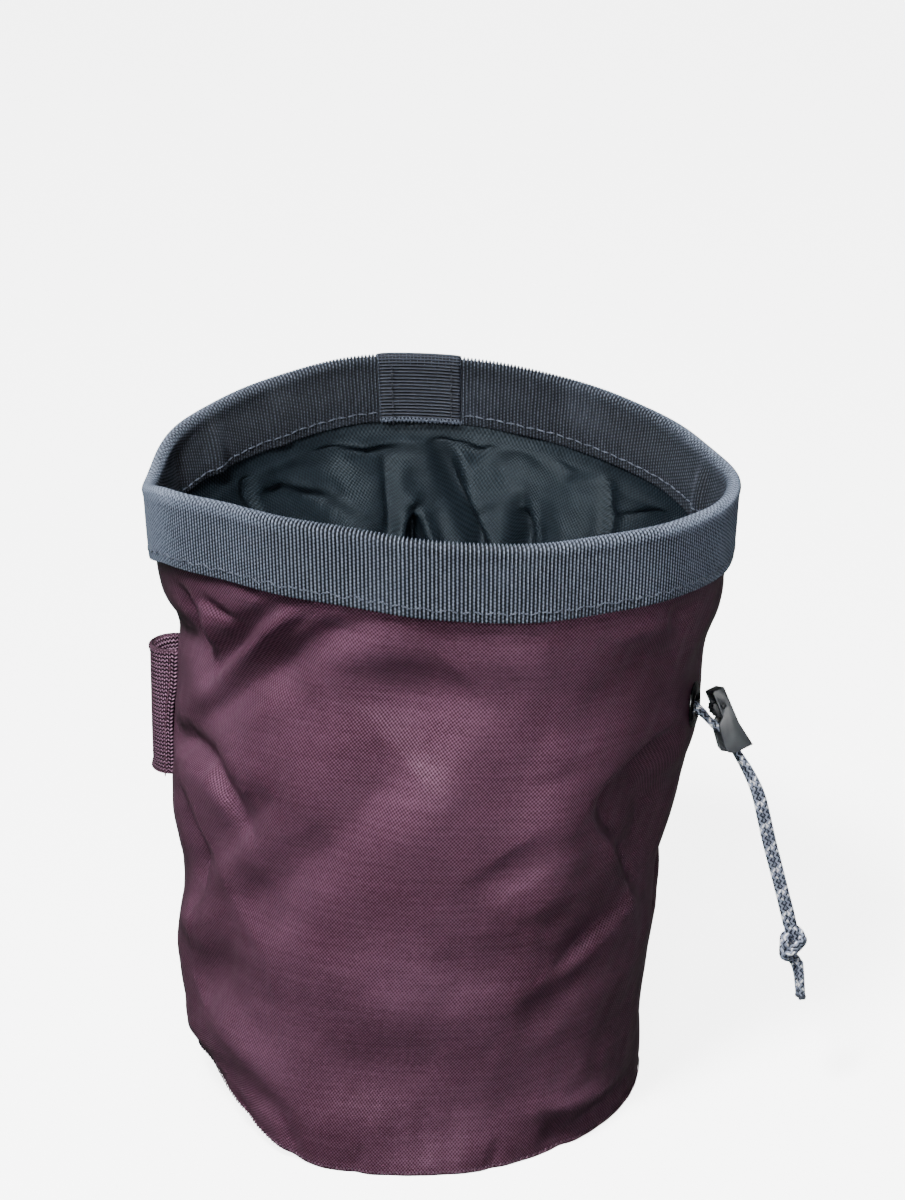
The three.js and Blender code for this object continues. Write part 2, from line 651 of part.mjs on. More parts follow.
// Eyelet: front flange, barrel through the wall and flange inside, turned about its own axis
function eyelet() {
  const seat = GAP;
  const back = -CLOTH - GAP;
  const barrel = EYELET_HOLE + EYELET_WALL;
  const profile = [
    [EYELET_HOLE, back - EYELET_FLANGE * 0.6],
    [barrel, back - EYELET_FLANGE],
    [EYELET_WASHER, back - EYELET_FLANGE * 0.7],
    [EYELET_WASHER, back],
    [barrel, back],
    [barrel, seat],
    [EYELET_RADIUS, seat],
    [EYELET_RADIUS, seat + EYELET_FLANGE * 0.4],
    [(EYELET_RADIUS + barrel) / 2, seat + EYELET_FLANGE],
    [barrel, seat + EYELET_FLANGE * 0.9],
    [EYELET_HOLE, seat + EYELET_FLANGE * 0.3],
  ];
  const points = [...profile, profile[0]].map(([x, y]) => new THREE.Vector2(x, y));
  const turned = new THREE.LatheGeometry(points, 24).rotateX(Math.PI / 2);
  turned.applyMatrix4(facing(eyeletNormal, eyeletPlace));
  return turned;
}

// A strand of cord along rows of a line, on one side of its middle
function strand(rows, side) {
  const points = rows.map((row) => {
    const way = new THREE.Vector3(...row.side).normalize();
    return new THREE.Vector3(...row.at).addScaledVector(way, side * strandOffset);
  });
  const path = new THREE.CatmullRomCurve3(points, false, "centripetal");
  const section = new THREE.Shape();
  section.absarc(0, 0, CORD_DIAMETER / 2, 0, 2 * Math.PI);
  const steps = Math.ceil(path.getLength() / (2.2 * CORD_DIAMETER));
  const options = { steps, curveSegments: CORD_SIDES / 2, bevelEnabled: false, extrudePath: path };
  return new THREE.ExtrudeGeometry(section, options);
}

// Knot: a rounded lump about twice as long as wide, with the waist between its two turns of cord
function cordKnot() {
  const ball = new THREE.SphereGeometry(1, 12, 10);
  const place = ball.attributes.position;
  for (let i = 0; i < place.count; i += 1) {
    const point = new THREE.Vector3().fromBufferAttribute(place, i);
    const waist = 1 - 0.18 * Math.exp(-((point.y / 0.3) ** 2));
    const lobes = 1 + 0.1 * Math.cos(3 * Math.atan2(point.z, point.x) + 2 * point.y);
    const wide = KNOT_RADIUS * waist * lobes;
    place.setXYZ(i, point.x * wide, (point.y * KNOT_LENGTH) / 2, point.z * wide);
  }
  const down = new THREE.Vector3(...TAIL_LINE[0].at).sub(KNOT_TOP).normalize();
  const turn = new THREE.Quaternion().setFromUnitVectors(new THREE.Vector3(0, -1, 0), down);
  const middle = KNOT_TOP.clone().addScaledVector(down, KNOT_LENGTH / 2);
  return ball.applyMatrix4(new THREE.Matrix4().compose(middle, turn, new THREE.Vector3(1, 1, 1)));
}

// The lock's own frame: X down its length, Y from the spine to the open side, Z across
const lockOpen = LOCK_ACROSS.clone().cross(LOCK_DOWN).normalize();
const lockFrame = new THREE.Matrix4().makeBasis(LOCK_DOWN, lockOpen, LOCK_ACROSS).setPosition(LOCK_TOP);

// Lock housing: a spine, an end wall and two cheeks that widen beside the cord
function lockHousing() {
  const long = LOCK_LENGTH;
  const shallow = LOCK_TOP_DEPTH;
  const deep = LOCK_MOUTH_DEPTH;
  const cheek = outlineOf([
    [0, 0],
    [long * 0.6, 0],
    [long, -LOCK_HEEL],
    [long, deep * 0.72],
    [long * 0.955, deep * 0.93],
    [long * 0.87, deep],
    [long * 0.6, deep * 0.9],
    [long * 0.49, deep * 0.8],
    [long * 0.42, shallow],
    [0.3, shallow],
    [0, shallow - 0.3],
  ]);
  const channel = outlineOf([
    [LOCK_END_WALL, LOCK_SPINE],
    [long + 1, LOCK_SPINE],
    [long + 1, deep + 1],
    [LOCK_END_WALL, deep + 1],
  ]);
  const whole = solidOf(plate(cheek, LOCK_CHANNEL + 2 * LOCK_CHEEK));
  const pinHole = rod(PIN_RADIUS + PIN_PLAY, LOCK_CHANNEL + 4 * LOCK_CHEEK, 12);
  pinHole.translate(CAM_PLACE, CAM_DEPTH, 0);
  const open = whole.subtract(solidOf(plate(channel, LOCK_CHANNEL)));
  return geometryOf(open.subtract(solidOf(pinHole))).applyMatrix4(lockFrame);
}

// Lock cam: a toothed nose on its pin, between the cheeks
function lockCam() {
  const back = CAM_DEPTH - LOCK_SPINE - GAP;
  const corners = [];
  for (let turn = 200; turn <= 340; turn += 28) {
    corners.push([back * Math.cos(degToRad(turn)), back * Math.sin(degToRad(turn))]);
  }
  const teeth = 4;
  for (let i = 0; i <= 2 * teeth; i += 1) {
    const turn = degToRad(lerp(18, 128, i / (2 * teeth)));
    const reach = CAM_NOSE * lerp(1, 0.8, i / (2 * teeth)) * (i % 2 ? 0.88 : 1);
    corners.push([reach * Math.cos(turn), reach * Math.sin(turn)]);
  }
  const nose = solidOf(plate(outlineOf(corners), LOCK_CHANNEL - 2 * GAP));
  const pin = solidOf(rod(PIN_RADIUS, LOCK_CHANNEL + 2 * LOCK_CHEEK, 12));
  return geometryOf(nose.add(pin)).translate(CAM_PLACE, CAM_DEPTH, 0).applyMatrix4(lockFrame);
}

addPiece("shell_wall", shellWall(), 0x4a2b3a, 0.55);
addPiece("base_panel", basePanel(), 0x40242f, 0.6);
addPiece("rim_band", rimBand(), 0x3b4250, 0.85);
addPiece("lining", liningCollar(), 0x2c373c, 0.6);
addPiece("belt_loop", beltLoop(), 0x33363f, 0.8);
addPiece("brush_loop", brushLoop(), 0x7c5570, 0.9);
addPiece("eyelet", eyelet(), 0x2b2d30, 0.3, 1);
addPiece("cord_a", strand(CORD_LINE, 1), 0x77808f, 0.8);
addPiece("cord_b", strand(CORD_LINE, -1), 0x77808f, 0.8);
addPiece("cord_knot", cordKnot(), 0x77808f, 0.8);
addPiece("cord_tail_a", strand(TAIL_LINE, 1), 0x77808f, 0.8);
addPiece("cord_tail_b", strand(TAIL_LINE, -1), 0x77808f, 0.8);
addPiece("lock_housing", lockHousing(), 0x3c4045, 0.5);
addPiece("lock_cam", lockCam(), 0x202226, 0.6);

export default group;
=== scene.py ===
# %% [markdown]
# # A climbing chalk bag, dressed in Blender
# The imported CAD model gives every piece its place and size. This lesson puts cloth, webbing, cord and hard
# parts over it: first the camera and the cords, then the soft pieces, then stitches, finishes and light.

# %% Load the frame
import contextlib
import math

import bmesh
import bpy
import numpy as np
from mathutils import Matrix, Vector


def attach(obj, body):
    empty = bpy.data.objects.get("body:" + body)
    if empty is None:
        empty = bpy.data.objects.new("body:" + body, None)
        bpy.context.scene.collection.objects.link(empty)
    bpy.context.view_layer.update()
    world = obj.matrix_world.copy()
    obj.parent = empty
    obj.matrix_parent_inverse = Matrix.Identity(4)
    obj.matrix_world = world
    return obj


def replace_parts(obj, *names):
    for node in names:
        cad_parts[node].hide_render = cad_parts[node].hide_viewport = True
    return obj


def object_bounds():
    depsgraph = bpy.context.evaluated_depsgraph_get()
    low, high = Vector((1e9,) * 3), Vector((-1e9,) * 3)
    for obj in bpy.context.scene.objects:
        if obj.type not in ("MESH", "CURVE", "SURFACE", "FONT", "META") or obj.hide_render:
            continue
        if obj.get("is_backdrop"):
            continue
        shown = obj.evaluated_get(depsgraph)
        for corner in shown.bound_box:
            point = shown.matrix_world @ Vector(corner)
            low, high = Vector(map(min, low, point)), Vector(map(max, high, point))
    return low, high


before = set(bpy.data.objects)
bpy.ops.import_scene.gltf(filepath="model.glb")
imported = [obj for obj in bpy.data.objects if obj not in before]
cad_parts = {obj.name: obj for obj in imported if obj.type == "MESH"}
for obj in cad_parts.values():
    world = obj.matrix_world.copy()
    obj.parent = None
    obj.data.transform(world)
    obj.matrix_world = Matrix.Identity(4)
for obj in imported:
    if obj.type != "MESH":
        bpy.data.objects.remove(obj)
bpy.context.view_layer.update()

# %% [markdown]
# The picture was taken from a little above the rim, with a long lens, so the camera stands far off and looks
# down by 21.5 degrees.

# %% Camera
CAMERA_PITCH = math.radians(21.5)
camera_data = bpy.data.cameras.new("camera")
camera_data.lens = 116.5
camera_data.sensor_width = 36
camera_data.clip_end = 20
camera = bpy.data.objects.new("camera", camera_data)
camera.location = (0.01051, -0.8374, 0.4504)
camera.rotation_euler = (math.radians(90) - CAMERA_PITCH, 0, 0)
bpy.context.scene.collection.objects.link(camera)
bpy.context.scene.camera = camera

# %% [markdown]
# Two kinds of node tree are built by hand here: materials and Geometry Nodes. One helper adds a node, sets
# its options and joins or fills its sockets, so that each recipe below reads as a list of steps.


# %% Helpers that add nodes
def output(value):
    if isinstance(value, bpy.types.Node):
        return next(s for s in value.outputs if s.enabled)
    return value


def put(tree, kind, sockets=None, **options):
    node = tree.nodes.new(kind)
    for key, value in options.items():
        setattr(node, key, value)
    for key, value in (sockets or {}).items():
        by_name = [s for s in node.inputs if s.name == key and s.enabled]
        socket = by_name[0] if by_name else node.inputs[key]
        value = output(value)
        if isinstance(value, bpy.types.NodeSocket):
            tree.links.new(value, socket)
        else:
            socket.default_value = value
    return node


def math_node(tree, operation, a, b=0.0, c=0.0):
    return put(tree, "ShaderNodeMath", {0: a, 1: b, 2: c}, operation=operation)


def scaled(tree, vector, factor):
    return put(tree, "ShaderNodeVectorMath", {0: vector, "Scale": factor}, operation="SCALE")


def unit_wave(tree, kind, angle):
    """A sine or cosine moved to run from 0 to 1."""
    return math_node(tree, "MULTIPLY_ADD", math_node(tree, kind, angle), 0.5, 0.5)


# %% [markdown]
# A repeated thing, such as a rib, a stitch or a yarn of a braid, is made by a Geometry Nodes tree. The tree
# runs once on a source mesh, and its result is kept as a plain mesh.


# %% Helpers for Geometry Nodes
def new_tree(name, **inputs):
    tree = bpy.data.node_groups.new(name, "GeometryNodeTree")
    tree.interface.new_socket("Geometry", in_out="INPUT", socket_type="NodeSocketGeometry")
    tree.interface.new_socket("Geometry", in_out="OUTPUT", socket_type="NodeSocketGeometry")
    for label, kind in inputs.items():
        tree.interface.new_socket(label.replace("_", " "), in_out="INPUT", socket_type="NodeSocket" + kind)
    return tree, tree.nodes.new("NodeGroupInput").outputs


def close_tree(tree, geometry, material):
    real = put(tree, "GeometryNodeRealizeInstances", {"Geometry": geometry})
    painted = put(tree, "GeometryNodeSetMaterial", {"Geometry": real, "Material": material})
    put(tree, "NodeGroupOutput", {"Geometry": painted})


def run_tree(name, source, tree, values):
    modifier = source.modifiers.new(tree.name, "NODES")
    modifier.node_group = tree
    for item in tree.interface.items_tree:
        if item.item_type == "SOCKET" and item.in_out == "INPUT" and item.name in values:
            modifier[item.identifier] = values[item.name]
    made = made_mesh(source, modifier)
    bpy.data.objects.remove(source)
    return link_piece(name, made)


# %% [markdown]
# Most of the bag is cloth that runs round an axis, so most meshes are grids of rows and columns. The UV map
# is in millimetres of cloth, which keeps a weave at its true scale however the cloth folds.


# %% Helpers for meshes
def link_piece(name, mesh):
    mesh.name = name
    piece = bpy.data.objects.new(name, mesh)
    bpy.context.scene.collection.objects.link(piece)
    return piece


def grid_piece(name, points, cloth, ring=False, loop=False):
    """points and cloth are arrays of columns by rows. ring closes the columns, and loop the rows."""
    columns, rows = points.shape[:2]
    i = np.arange(columns if ring else columns - 1)[:, None]
    j = np.arange(rows if loop else rows - 1)[None, :]
    corners = [(i, j), (i + 1, j), (i + 1, j + 1), (i, j + 1)]
    faces = np.stack([(a % columns) * rows + b % rows for a, b in corners], -1).reshape(-1, 4)
    mesh = bpy.data.meshes.new(name)
    mesh.from_pydata(points.reshape(-1, 3).tolist(), [], faces.tolist())
    uv = np.stack([cloth[a, b] for a, b in corners], -2).reshape(-1, 2)
    mesh.uv_layers.new(name="cloth").data.foreach_set("uv", uv.astype(np.float32).ravel())
    mesh.shade_smooth()
    return link_piece(name, mesh)


def made_mesh(piece, modifier):
    """The mesh that a modifier makes of a piece. The modifier is removed."""
    graph = bpy.context.evaluated_depsgraph_get()
    mesh = bpy.data.meshes.new_from_object(
        piece.evaluated_get(graph), preserve_all_data_layers=True, depsgraph=graph
    )
    piece.modifiers.remove(modifier)
    return mesh


def thicken(piece, thickness, offset=-1):
    solid = piece.modifiers.new("thickness", "SOLIDIFY")
    solid.thickness = thickness
    solid.offset = offset
    solid.use_even_offset = False
    piece.data = made_mesh(piece, solid)


@contextlib.contextmanager
def edited(piece):
    """Lends a piece's mesh for edits, and writes it back after the indented lines."""
    work = bmesh.new()
    work.from_mesh(piece.data)
    yield work
    work.to_mesh(piece.data)
    work.free()


def recalculate(piece):
    with edited(piece) as work:
        bmesh.ops.recalc_face_normals(work, faces=work.faces)


def face_towards(piece, face, direction):
    """Turns a sheet over when the face with this number looks away from the direction."""
    if piece.data.polygons[face].normal.dot(Vector(direction)) < 0:
        piece.data.flip_normals()


def cloth_grid(across, up):
    return np.stack(np.meshgrid(across, up, indexing="ij"), -1)


def outward(angle):
    """The level direction at an angle in degrees."""
    return np.array([math.cos(math.radians(angle)), math.sin(math.radians(angle)), 0])


def polyline(name, points, closed=False):
    mesh = bpy.data.meshes.new(name)
    count = len(points)
    edges = [(i, (i + 1) % count) for i in range(count if closed else count - 1)]
    mesh.from_pydata([list(map(float, p)) for p in points], edges, [])
    return link_piece(name, mesh)


def smooth_path(points, per_span=8):
    """A Catmull-Rom line through given points."""
    rows = np.asarray(points, float)
    rows = np.vstack([2 * rows[0] - rows[1], rows, 2 * rows[-1] - rows[-2]])
    made = []
    for a, b, c, d in zip(rows, rows[1:], rows[2:], rows[3:]):
        for t in np.arange(per_span) / per_span:
            cube = (2 * b, c - a, 2 * a - 5 * b + 4 * c - d, 3 * b - a - 3 * c + d)
            made.append(0.5 * sum(k * t**p for p, k in enumerate(cube)))
    made.append(rows[-2])
    return np.array(made)


# %% [markdown]
# ## Cord
# The drawcord is a braid of sixteen thin yarns, half of them turning one way and half the other, each going
# over and under those that it meets. Two white tracer yarns show as flecks at every turn. A texture would do
# from far away, but the braid's beaded outline shows against a pale floor, so the yarns are real.

# %% Tree for a braid
RESAMPLE_STEP = 0.00028
braid_tree, given = new_tree(
    "braid", Cord_radius="Float", Yarn_radius="Float", Turn_length="Float", Yarns="Int", Material="Material"
)
line = put(braid_tree, "GeometryNodeMeshToCurve", {"Mesh": given["Geometry"]})
line = put(braid_tree, "GeometryNodeResampleCurve", {"Curve": line, "Length": RESAMPLE_STEP}, mode="LENGTH")
yarns = put(
    braid_tree, "GeometryNodeDuplicateElements", {"Geometry": line, "Amount": given["Yarns"]}, domain="SPLINE"
)
number = put(braid_tree, "GeometryNodeCaptureAttribute", domain="CURVE")
number.capture_items.new("INT", "Yarn")
braid_tree.links.new(yarns.outputs["Geometry"], number.inputs["Geometry"])
braid_tree.links.new(yarns.outputs["Duplicate Index"], number.inputs["Yarn"])
yarn_number = number.outputs["Yarn"]
way = math_node(braid_tree, "MODULO", yarn_number, 2.0)
way = math_node(braid_tree, "MULTIPLY_ADD", way, 2.0, -1.0)
length = put(braid_tree, "GeometryNodeSplineParameter").outputs["Length"]
turns = math_node(braid_tree, "DIVIDE", length, given["Turn length"])
spin = math_node(braid_tree, "MULTIPLY", turns, way)
start = math_node(braid_tree, "DIVIDE", yarn_number, given["Yarns"])
whole = math_node(braid_tree, "ADD", spin, start)
angle = math_node(braid_tree, "MULTIPLY", whole, 2 * math.pi)
crossing = math_node(braid_tree, "MULTIPLY", turns, given["Yarns"])
crossing = math_node(braid_tree, "MULTIPLY", crossing, math.pi)
over = math_node(braid_tree, "SINE", math_node(braid_tree, "MULTIPLY", crossing, 0.5))
over = math_node(braid_tree, "MULTIPLY", over, way)
lift = math_node(braid_tree, "MULTIPLY", over, math_node(
    braid_tree, "MULTIPLY", given["Yarn radius"], 0.3))
reach = math_node(braid_tree, "SUBTRACT", given["Cord radius"], given["Yarn radius"])
reach = math_node(braid_tree, "ADD", reach, lift)
normal = put(braid_tree, "GeometryNodeInputNormal")
tangent = put(braid_tree, "GeometryNodeInputTangent")
side = put(braid_tree, "ShaderNodeVectorMath", {0: tangent, 1: normal}, operation="CROSS_PRODUCT")
ahead, across = [
    scaled(braid_tree, way_out, math_node(braid_tree, "MULTIPLY", reach, math_node(braid_tree, kind, angle)))
    for way_out, kind in ((normal, "COSINE"), (side, "SINE"))
]
offset = put(braid_tree, "ShaderNodeVectorMath", {0: ahead, 1: across}, operation="ADD")
moved = put(braid_tree, "GeometryNodeSetPosition", {"Geometry": number.outputs["Geometry"], "Offset": offset})
kept = put(braid_tree, "GeometryNodeStoreNamedAttribute", {
    "Geometry": moved, "Name": "yarn", "Value": yarn_number,
}, data_type="INT", domain="POINT")
ring = put(
    braid_tree, "GeometryNodeCurvePrimitiveCircle", {"Resolution": 6, "Radius": given["Yarn radius"]}
)
tube = put(
    braid_tree, "GeometryNodeCurveToMesh", {"Curve": kept, "Profile Curve": ring, "Fill Caps": True}
)
smooth = put(braid_tree, "GeometryNodeSetShadeSmooth", {"Geometry": tube})
close_tree(braid_tree, smooth, given["Material"])
print("braid tree:", len(braid_tree.nodes), "nodes")

# %% [markdown]
# The yarns are polyester: slate blue and near black in pairs, with two white tracers. The yarn's number is
# stored on the mesh by the tree, and the material reads it.


# %% Helpers for materials
def new_material(name, **fixed):
    material = bpy.data.materials.new(name)
    material.use_nodes = True
    tree = material.node_tree
    shader = tree.nodes["Principled BSDF"]
    for key, value in fixed.items():
        shader.inputs[key.replace("_", " ")].default_value = value
    return material, tree, shader


def ramp(tree, factor, *stops):
    node = put(tree, "ShaderNodeValToRGB", {"Fac": factor})
    band = node.color_ramp
    while len(band.elements) < len(stops):
        band.elements.new(0.5)
    for element, (place, colour) in zip(band.elements, stops):
        element.position = place
        element.color = (*colour, 1)
    return node


def mix(tree, factor, *colours):
    first, second = [(*c, 1) if isinstance(c, tuple) else c for c in colours]
    return put(tree, "ShaderNodeMix", {"Factor": factor, "A": first, "B": second}, data_type="RGBA")


def noise(tree, scale, detail, place=None):
    if place is None:
        place = put(tree, "ShaderNodeTexCoord").outputs["Object"]
    return put(tree, "ShaderNodeTexNoise", {"Vector": place, "Scale": scale, "Detail": detail})


def add_grain(tree, tone, grain, amount):
    """Adds a noise to a tone, as much below it as above."""
    return math_node(tree, "MULTIPLY_ADD", math_node(tree, "SUBTRACT", grain, 0.5), amount, tone)


def paint(tree, shader, value, socket="Base Color"):
    tree.links.new(output(value), shader.inputs[socket])


def bump(tree, shader, height, distance, strength=1.0):
    node = put(tree, "ShaderNodeBump", {"Height": height, "Distance": distance, "Strength": strength})
    tree.links.new(node.outputs["Normal"], shader.inputs["Normal"])


# %% Finish: cord
cord_braid, tree, shader = new_material("cord_braid", Roughness=0.7, Specular_IOR_Level=0.3)
yarn = put(tree, "ShaderNodeAttribute", attribute_name="yarn").outputs["Fac"]
tracer = math_node(tree, "LESS_THAN", yarn, 1.5)
dark_pair = math_node(tree, "LESS_THAN", math_node(tree, "MODULO", yarn, 4.0), 1.5)
grain = noise(tree, 2600.0, 2.0)
base = mix(tree, dark_pair, (0.19, 0.22, 0.30), (0.006, 0.008, 0.015))
base = mix(tree, tracer, base, (0.75, 0.75, 0.78))
base = mix(tree, math_node(tree, "MULTIPLY", grain, 0.4), base, (0.03, 0.035, 0.05))
paint(tree, shader, base)
bump(tree, shader, grain, 0.0001)

# %% [markdown]
# The cord's middle line repeats the points of the CAD source. It leaves the eyelet, bends down into the lock
# and hangs to the knot. At each point a direction says where strand a lies beside strand b, which gives the
# doubled cord its slow half turns.

# %% Path of the cord
CORD_DIAMETER = 0.0019
STRAND_OFFSET = 0.0008
CORD_LINE = [
    ((0.0608, -0.0143, 0.1009), (0.26, 0.97, 0)),
    ((0.0654, -0.0155, 0.1007), (0.26, 0.97, 0)),
    ((0.0676, -0.0171, 0.0998), (0.1, 0.98, -0.1)),
    ((0.0696, -0.0186, 0.0981), (-0.1, 0.95, -0.25)),
    ((0.0714, -0.019, 0.0965), (-0.22, 0.92, -0.33)),
    ((0.0736, -0.0191, 0.0946), (-0.22, 0.92, -0.33)),
    ((0.0758, -0.02, 0.0909), (-0.22, 0.92, -0.33)),
    ((0.0785, -0.0207, 0.0864), (-0.55, 0.78, -0.3)),
    ((0.0809, -0.021, 0.081), (-0.85, 0.5, -0.15)),
    ((0.0825, -0.021, 0.0747), (-0.97, 0.2, -0.1)),
    ((0.0839, -0.021, 0.0686), (-0.96, -0.2, -0.1)),
    ((0.0855, -0.021, 0.0626), (-0.97, 0.1, -0.1)),
    ((0.0871, -0.021, 0.0564), (-0.95, 0.3, -0.1)),
    ((0.0885, -0.021, 0.051), (-0.97, 0.1, -0.1)),
    ((0.0894, -0.021, 0.0472), (-0.97, 0, -0.1)),
]


def beside(rows, share):
    """The path of one strand: share is 1 for strand a and -1 for strand b."""
    points = []
    for at, side in rows:
        way = np.array(side, float)
        points.append(np.array(at) + share * STRAND_OFFSET * way / np.linalg.norm(way))
    return points


# %% [markdown]
# The knot is an overhand knot tied in both strands together. Its middle line is listed point by point: down
# through the middle, round the left, behind, round the right, across the front, and out at the foot into the
# tails.

# %% Path of the knot and tails
KNOT_MIDDLE = np.array([0.0903, -0.021, 0.0423])
KNOT_LINE = [
    ((-0.9, 0.0, 5.2), (-1, 0, 0)),
    ((-0.5, -0.2, 3.4), (-1, 0.2, 0)),
    ((0.2, 0.4, 1.2), (-0.8, 0.6, 0)),
    ((0.3, 0.7, -1.2), (-0.5, 0.8, 0.2)),
    ((-0.7, 0.0, -2.9), (0.2, 0.8, 0.6)),
    ((-1.9, -0.9, -2.0), (0.7, 0.6, 0.3)),
    ((-2.2, -0.9, 0.2), (0.3, -0.9, 0.2)),
    ((-1.9, 0.1, 2.2), (0.4, -0.8, 0.5)),
    ((-0.6, 1.3, 2.9), (0.1, 0.5, 0.9)),
    ((1.0, 1.2, 2.4), (-0.1, 0.4, 0.9)),
    ((2.1, 0.1, 1.7), (-0.4, 0.1, 0.9)),
    ((1.5, -1.4, 0.6), (0.4, 0.1, 0.9)),
    ((-0.2, -2.1, -0.4), (0.3, 0.1, 0.95)),
    ((-1.2, -1.4, -1.4), (0.6, 0.3, 0.7)),
    ((-0.2, -0.5, -2.9), (-0.9, 0.2, 0.3)),
    ((0.7, -0.2, -4.6), (-0.95, 0.1, 0.1)),
]
TAIL_LINE = [
    ((0.0912, -0.021, 0.0378), (-0.8, 0.5, -0.1)),
    ((0.0919, -0.021, 0.034), (-0.45, 0.85, -0.1)),
    ((0.0924, -0.0212, 0.0288), (-0.3, 0.93, -0.1)),
]
knot_rows = [(tuple(KNOT_MIDDLE + np.array(at) / 1000), side) for at, side in KNOT_LINE]

# %% Braided strands, knot and tails
BRAID = {
    "Cord radius": 0.00084, "Yarn radius": 0.00026, "Turn length": 0.0058, "Yarns": 16, "Material": cord_braid,
}
KNOT_SPREAD = 0.9
strands = []
for label, share in (("a", 1), ("b", -1)):
    rows = ((CORD_LINE, share), (knot_rows, KNOT_SPREAD * share), (TAIL_LINE, share))
    routes = [smooth_path(beside(line, side)) for line, side in rows]
    braids = [
        run_tree(name + label, polyline("route", route), braid_tree, BRAID)
        for name, route in zip(("cord_strand_", "knot_strand_", "cord_end_"), routes)
    ]
    reach = float(np.linalg.norm(np.diff(routes[0], axis=0), axis=1).sum())
    strands.append((label, share, braids, routes, reach))
    print("strand", label, "is", round(1000 * reach, 1), "mm long,", len(braids[0].data.polygons), "faces")

# %% [markdown]
# The core under the yarns keeps a braid from being seen through, and the cut ends are melted into dark beads,
# as on the real cord.


# %% Cord cores and melted ends
CORE_RADIUS, MELTED_RADIUS = CORD_DIAMETER / 2 - 0.00042, 0.00098


def core(name, route, radius):
    sides, rows = 10, len(route)
    tangents = np.gradient(route, axis=0)
    tangents /= np.linalg.norm(tangents, axis=1)[:, None]
    first = np.cross(tangents, np.array([0.0, 1.0, 0.05]))
    first /= np.linalg.norm(first, axis=1)[:, None]
    second = np.cross(tangents, first)
    turn = np.linspace(0, 2 * math.pi, sides, endpoint=False)
    points = route[None] + radius * (
        np.cos(turn)[:, None, None] * first[None] + np.sin(turn)[:, None, None] * second[None]
    )
    piece = grid_piece(name, points, np.zeros((sides + 1, rows, 2)), ring=True)
    with edited(piece) as work:
        bmesh.ops.holes_fill(work, edges=[e for e in work.edges if e.is_boundary])
        bmesh.ops.recalc_face_normals(work, faces=work.faces)
    return piece


cord_core, tree, shader = new_material("cord_core", Roughness=0.85)
shader.inputs["Base Color"].default_value = (0.02, 0.024, 0.035, 1)
grain = noise(tree, 1500.0, 3.0)
bump(tree, shader, grain, 0.0002)
cores = []
for label, share, braids, routes, reach in strands:
    for part, route in zip(("strand", "knot", "end"), routes):
        piece = core(f"{part}_core_{label}", route, CORE_RADIUS)
        piece.data.materials.append(cord_core)
        cores.append((label, piece))
    tip = routes[-1][-1]
    bpy.ops.mesh.primitive_uv_sphere_add(segments=20, ring_count=12, radius=MELTED_RADIUS)
    bead = bpy.context.object
    bead.name = bead.data.name = "melted_end_" + label
    co = np.array([v.co for v in bead.data.vertices])
    co = co * [1, 1, 0.85] + 0.00009 * np.sin(co[:, [1, 2, 0]] * 5200 + (share + 2))
    bead.data.vertices.foreach_set("co", (co + tip + [0, 0, 0.0001]).astype(np.float32).ravel())
    bead.data.shade_smooth()
    bead.data.materials.append(cord_core)
    cores.append((label, bead))
print("cores and ends:", len(cores))

# %% [markdown]
# ## The bag's own shape
# The wall, the band and the collar all follow the same few tables: sections up the bag, the wavy rim, and
# the folds. They are read with a smooth curve between rows, on whole arrays at once.

# %% Sizes and tables
BAG_HEIGHT, RIM_RADIUS, BASE_RADIUS, TOP_SHIFT = 0.158, 0.068, 0.0555, 0.008
GAP, CLOTH, WEBBING, LINING = 0.0003, 0.0011, 0.001, 0.001
BAND_HEIGHT, SHELL_THICKNESS = 0.0176, 0.0006
CORNER_LIFT, CORNER_PULL, CORNER_ANGLE, CORNER_SPREAD, CORNER_RISE = 0.0118, 0.0045, -158, 50, 0.16
# millimetres of cloth up the wall, down the collar and round the bag
HEIGHT_MM, COLLAR_MM, ROUND_MM = 158, 55, 388.0
wall_top = RIM_RADIUS - WEBBING - GAP
band_share = 1 - BAND_HEIGHT / BAG_HEIGHT
band_thickness, FOLD_THICKNESS = 0.0037, 0.0025
shoulder_share = 1 - FOLD_THICKNESS / 2 / BAG_HEIGHT
MEAN_ARC = math.radians(1) * 500 * (BASE_RADIUS + RIM_RADIUS)

# height, flare from the base's radius to the rim's, lean to the right
SECTIONS = np.array([
    (0, 0, 0), (0.13, 0, 0.12), (0.24, 0.09, 0.22), (0.34, 0.13, 0.44), (0.44, 0.27, 0.49),
    (0.57, 0.45, 0.64), (0.665, 0.47, 0.85), (0.76, 0.54, 1.05), (0.83, 0.79, 1), (0.89, 0.91, 1), (1, 1, 1),
], float)
# angle, reach, rise
RIM = np.array([
    (-180, 1, -0.046), (-155, 1, -0.002), (-135, 0.975, 0.016), (-112, 0.965, 0.019), (-90, 0.965, 0.006),
    (-70, 0.965, -0.006), (-45, 0.98, -0.015), (-20, 0.995, -0.034), (5, 1, -0.051), (30, 0.985, -0.044),
    (55, 0.97, -0.022), (80, 0.97, -0.002), (105, 0.97, 0.011), (130, 0.975, -0.003), (155, 0.99, -0.02),
], float)
rim_round = np.vstack([RIM[-2:] - [360, 0, 0], RIM, RIM[:2] + [360, 0, 0]])


